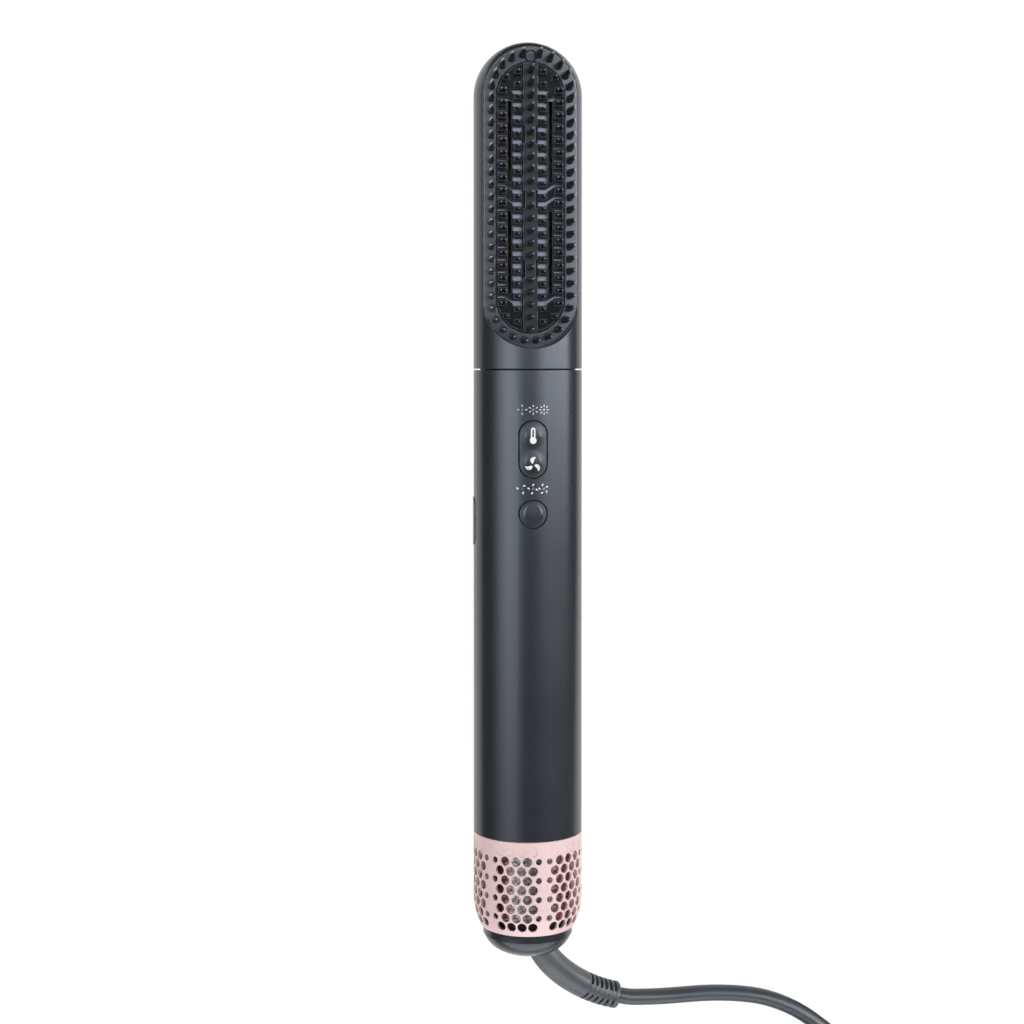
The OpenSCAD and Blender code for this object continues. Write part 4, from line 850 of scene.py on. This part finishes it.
# Lamps and light guide: six small lamps on the board shine into one clear moulded strip behind the
# marks. It looks bluish, darker on the left and towards the lower lamps.
guide = finish("light guide", (0.17, 0.205, 0.27), (0.15, 0.25), Transmission_Weight=0.2)
strip = guide.node_tree
where, sides, sideways, lengthways, tone = (strip.nodes.new("ShaderNode" + kind) for kind in (
    "TexCoord", "SeparateXYZ", "MapRange", "MapRange", "VectorMath"))
for drift, axis, places, tones in ((sideways, "X", (-0.004, 0.004), (0.5, 1.25)),
                                   (lengthways, "Y", (0.015, 0.025), (0.65, 1))):
    strip.links.new(sides.outputs[axis], drift.inputs["Value"])
    drift.inputs["From Min"].default_value, drift.inputs["From Max"].default_value = places
    drift.inputs["To Min"].default_value, drift.inputs["To Max"].default_value = tones
tone.operation = "SCALE"
strip.links.new(where.outputs["Object"], sides.inputs[0])
strip.links.new(calc(strip, "MULTIPLY", sideways.outputs["Result"], lengthways.outputs["Result"]),
                tone.inputs["Scale"])
recolour(guide, tone.inputs[0], tone.outputs["Vector"])
dress(guide, "light_guide")
dress(finish("lamp", (0.85, 0.88, 0.95), (0.2, 0.3)), "indicator_lamps")


# Boards: fibreglass under green solder mask with paler tracks. One lies behind the keys, one behind
# the side button and one drives the motor. They carry switches and a sleeved capacitor.
def second_tone(material, texture, colour, **settings):
    """Works a second colour into a finish through a pattern such as tracks, windings or layers."""
    nodes, links = material.node_tree.nodes, material.node_tree.links
    place, pattern, toned = (nodes.new("ShaderNode" + kind) for kind in ("TexCoord", texture, "Mix"))
    for socket, value in settings.items():
        pattern.inputs[socket.replace("_", " ")].default_value = value
    toned.data_type = "RGBA"
    links.new(place.outputs["Object"], pattern.inputs["Vector"])
    links.new(pattern.outputs["Fac"], toned.inputs["Factor"])
    toned.inputs["B"].default_value = (*colour, 1)
    recolour(material, toned.inputs["A"], toned.outputs["Result"])
    return material


solder_mask = finish("solder mask", (0.02, 0.12, 0.05), (0.3, 0.4))
second_tone(solder_mask, "TexBrick", (0.06, 0.22, 0.09), Scale=420, Mortar_Size=0.06, Mortar_Smooth=0.2)
dress(solder_mask, "control_board", "side_board", "driver_board")
dress(finish("switch body", (0.5, 0.5, 0.48), (0.4, 0.5)), "tact_switches")
dress(finish("capacitor sleeve", (0.03, 0.05, 0.15), (0.3, 0.4)), "filter_capacitor")

# Inner frame: glass-filled nylon mouldings. The carrier holds the keys, the chassis holds boards,
# duct and motor, and the clamp grips the lead in the dome.
nylon = finish("glass-filled nylon", (0.14, 0.15, 0.16), (0.5, 0.6), relief=0.1)
dress(nylon, "key_carrier", "inner_chassis", "cord_clamp")

# Heater: coiled resistance wire on crossed mica boards, in a duct rolled from the same board, with a
# safety fuse. A steel grille guards its outlet.
dress(finish("resistance wire", (0.35, 0.34, 0.33), (0.3, 0.45), Metallic=1.0), "heater_wire")
dress(mica, "air_duct", "heater_frame")
dress(steel, "outlet_grille", "thermal_fuse")

# Fan motor: a wound stator in a die-cast housing, held by a rubber sleeve. A moulded impeller and a
# plated magnet turn on the steel shaft in two ball bearings.
dress(finish("mount rubber", (0.05, 0.05, 0.05), (0.6, 0.7)), "motor_mount")
cast = finish("die-cast alloy", (0.6, 0.61, 0.63), (0.35, 0.5), relief=0.15, Metallic=1.0)
dress(second_tone(cast, "TexNoise", (0.42, 0.43, 0.45), Scale=1400, Detail=4), "motor_housing")
windings = finish("enamelled copper", (0.6, 0.28, 0.12), (0.25, 0.35), Metallic=0.9)
dress(second_tone(windings, "TexWave", (0.30, 0.12, 0.045), Scale=650, Distortion=0.6), "motor_stator")
dress(steel, "motor_bearings", "rotor_shaft")
dress(finish("plated magnet", (0.4, 0.4, 0.42), (0.15, 0.25), Metallic=1.0), "rotor_magnet")
dress(finish("impeller resin", (0.75, 0.75, 0.72), (0.35, 0.45)), "impeller")

# Intake: a perforated sleeve in rose paint twists onto a ribbed nylon basket, with a fine steel mesh
# between them. Towards the flanks the mesh carries a painted reflection of the sleeve's rose inside.
dress(inner_nylon, "intake_cage")
dress(finish("rose paint", (0.49, 0.338, 0.32), (0.42, 0.5), drift=0.14, patch=2300, grain=9000, relief=0.03,
             edge=0.25, Metallic=0.12), "intake_sleeve")
wire = finish("filter wire", (0.33, 0.31, 0.29), (0.16, 0.42), drift=0.75, patch=1300, grain=1500, relief=0.55,
              Metallic=0.9)
mesh_tree = wire.node_tree
# Painted reflection: the mesh is mixed towards rose beyond about 6 mm to the side.
where, sides, flank, rose_reflection = (mesh_tree.nodes.new("ShaderNode" + kind) for kind in (
    "TexCoord", "SeparateXYZ", "MapRange", "Mix"))
flank.interpolation_type = "SMOOTHSTEP"
flank.inputs["From Min"].default_value, flank.inputs["From Max"].default_value = 0.006, 0.0105
rose_reflection.data_type = "RGBA"
rose_reflection.inputs["B"].default_value = (0.26, 0.12, 0.115, 1)
mesh_tree.links.new(where.outputs["Object"], sides.inputs[0])
mesh_tree.links.new(calc(mesh_tree, "ABSOLUTE", sides.outputs["X"]), flank.inputs["Value"])
mesh_tree.links.new(flank.outputs["Result"], rose_reflection.inputs["Factor"])
recolour(wire, rose_reflection.inputs["A"], rose_reflection.outputs["Result"])
dress(wire, "filter_mesh")
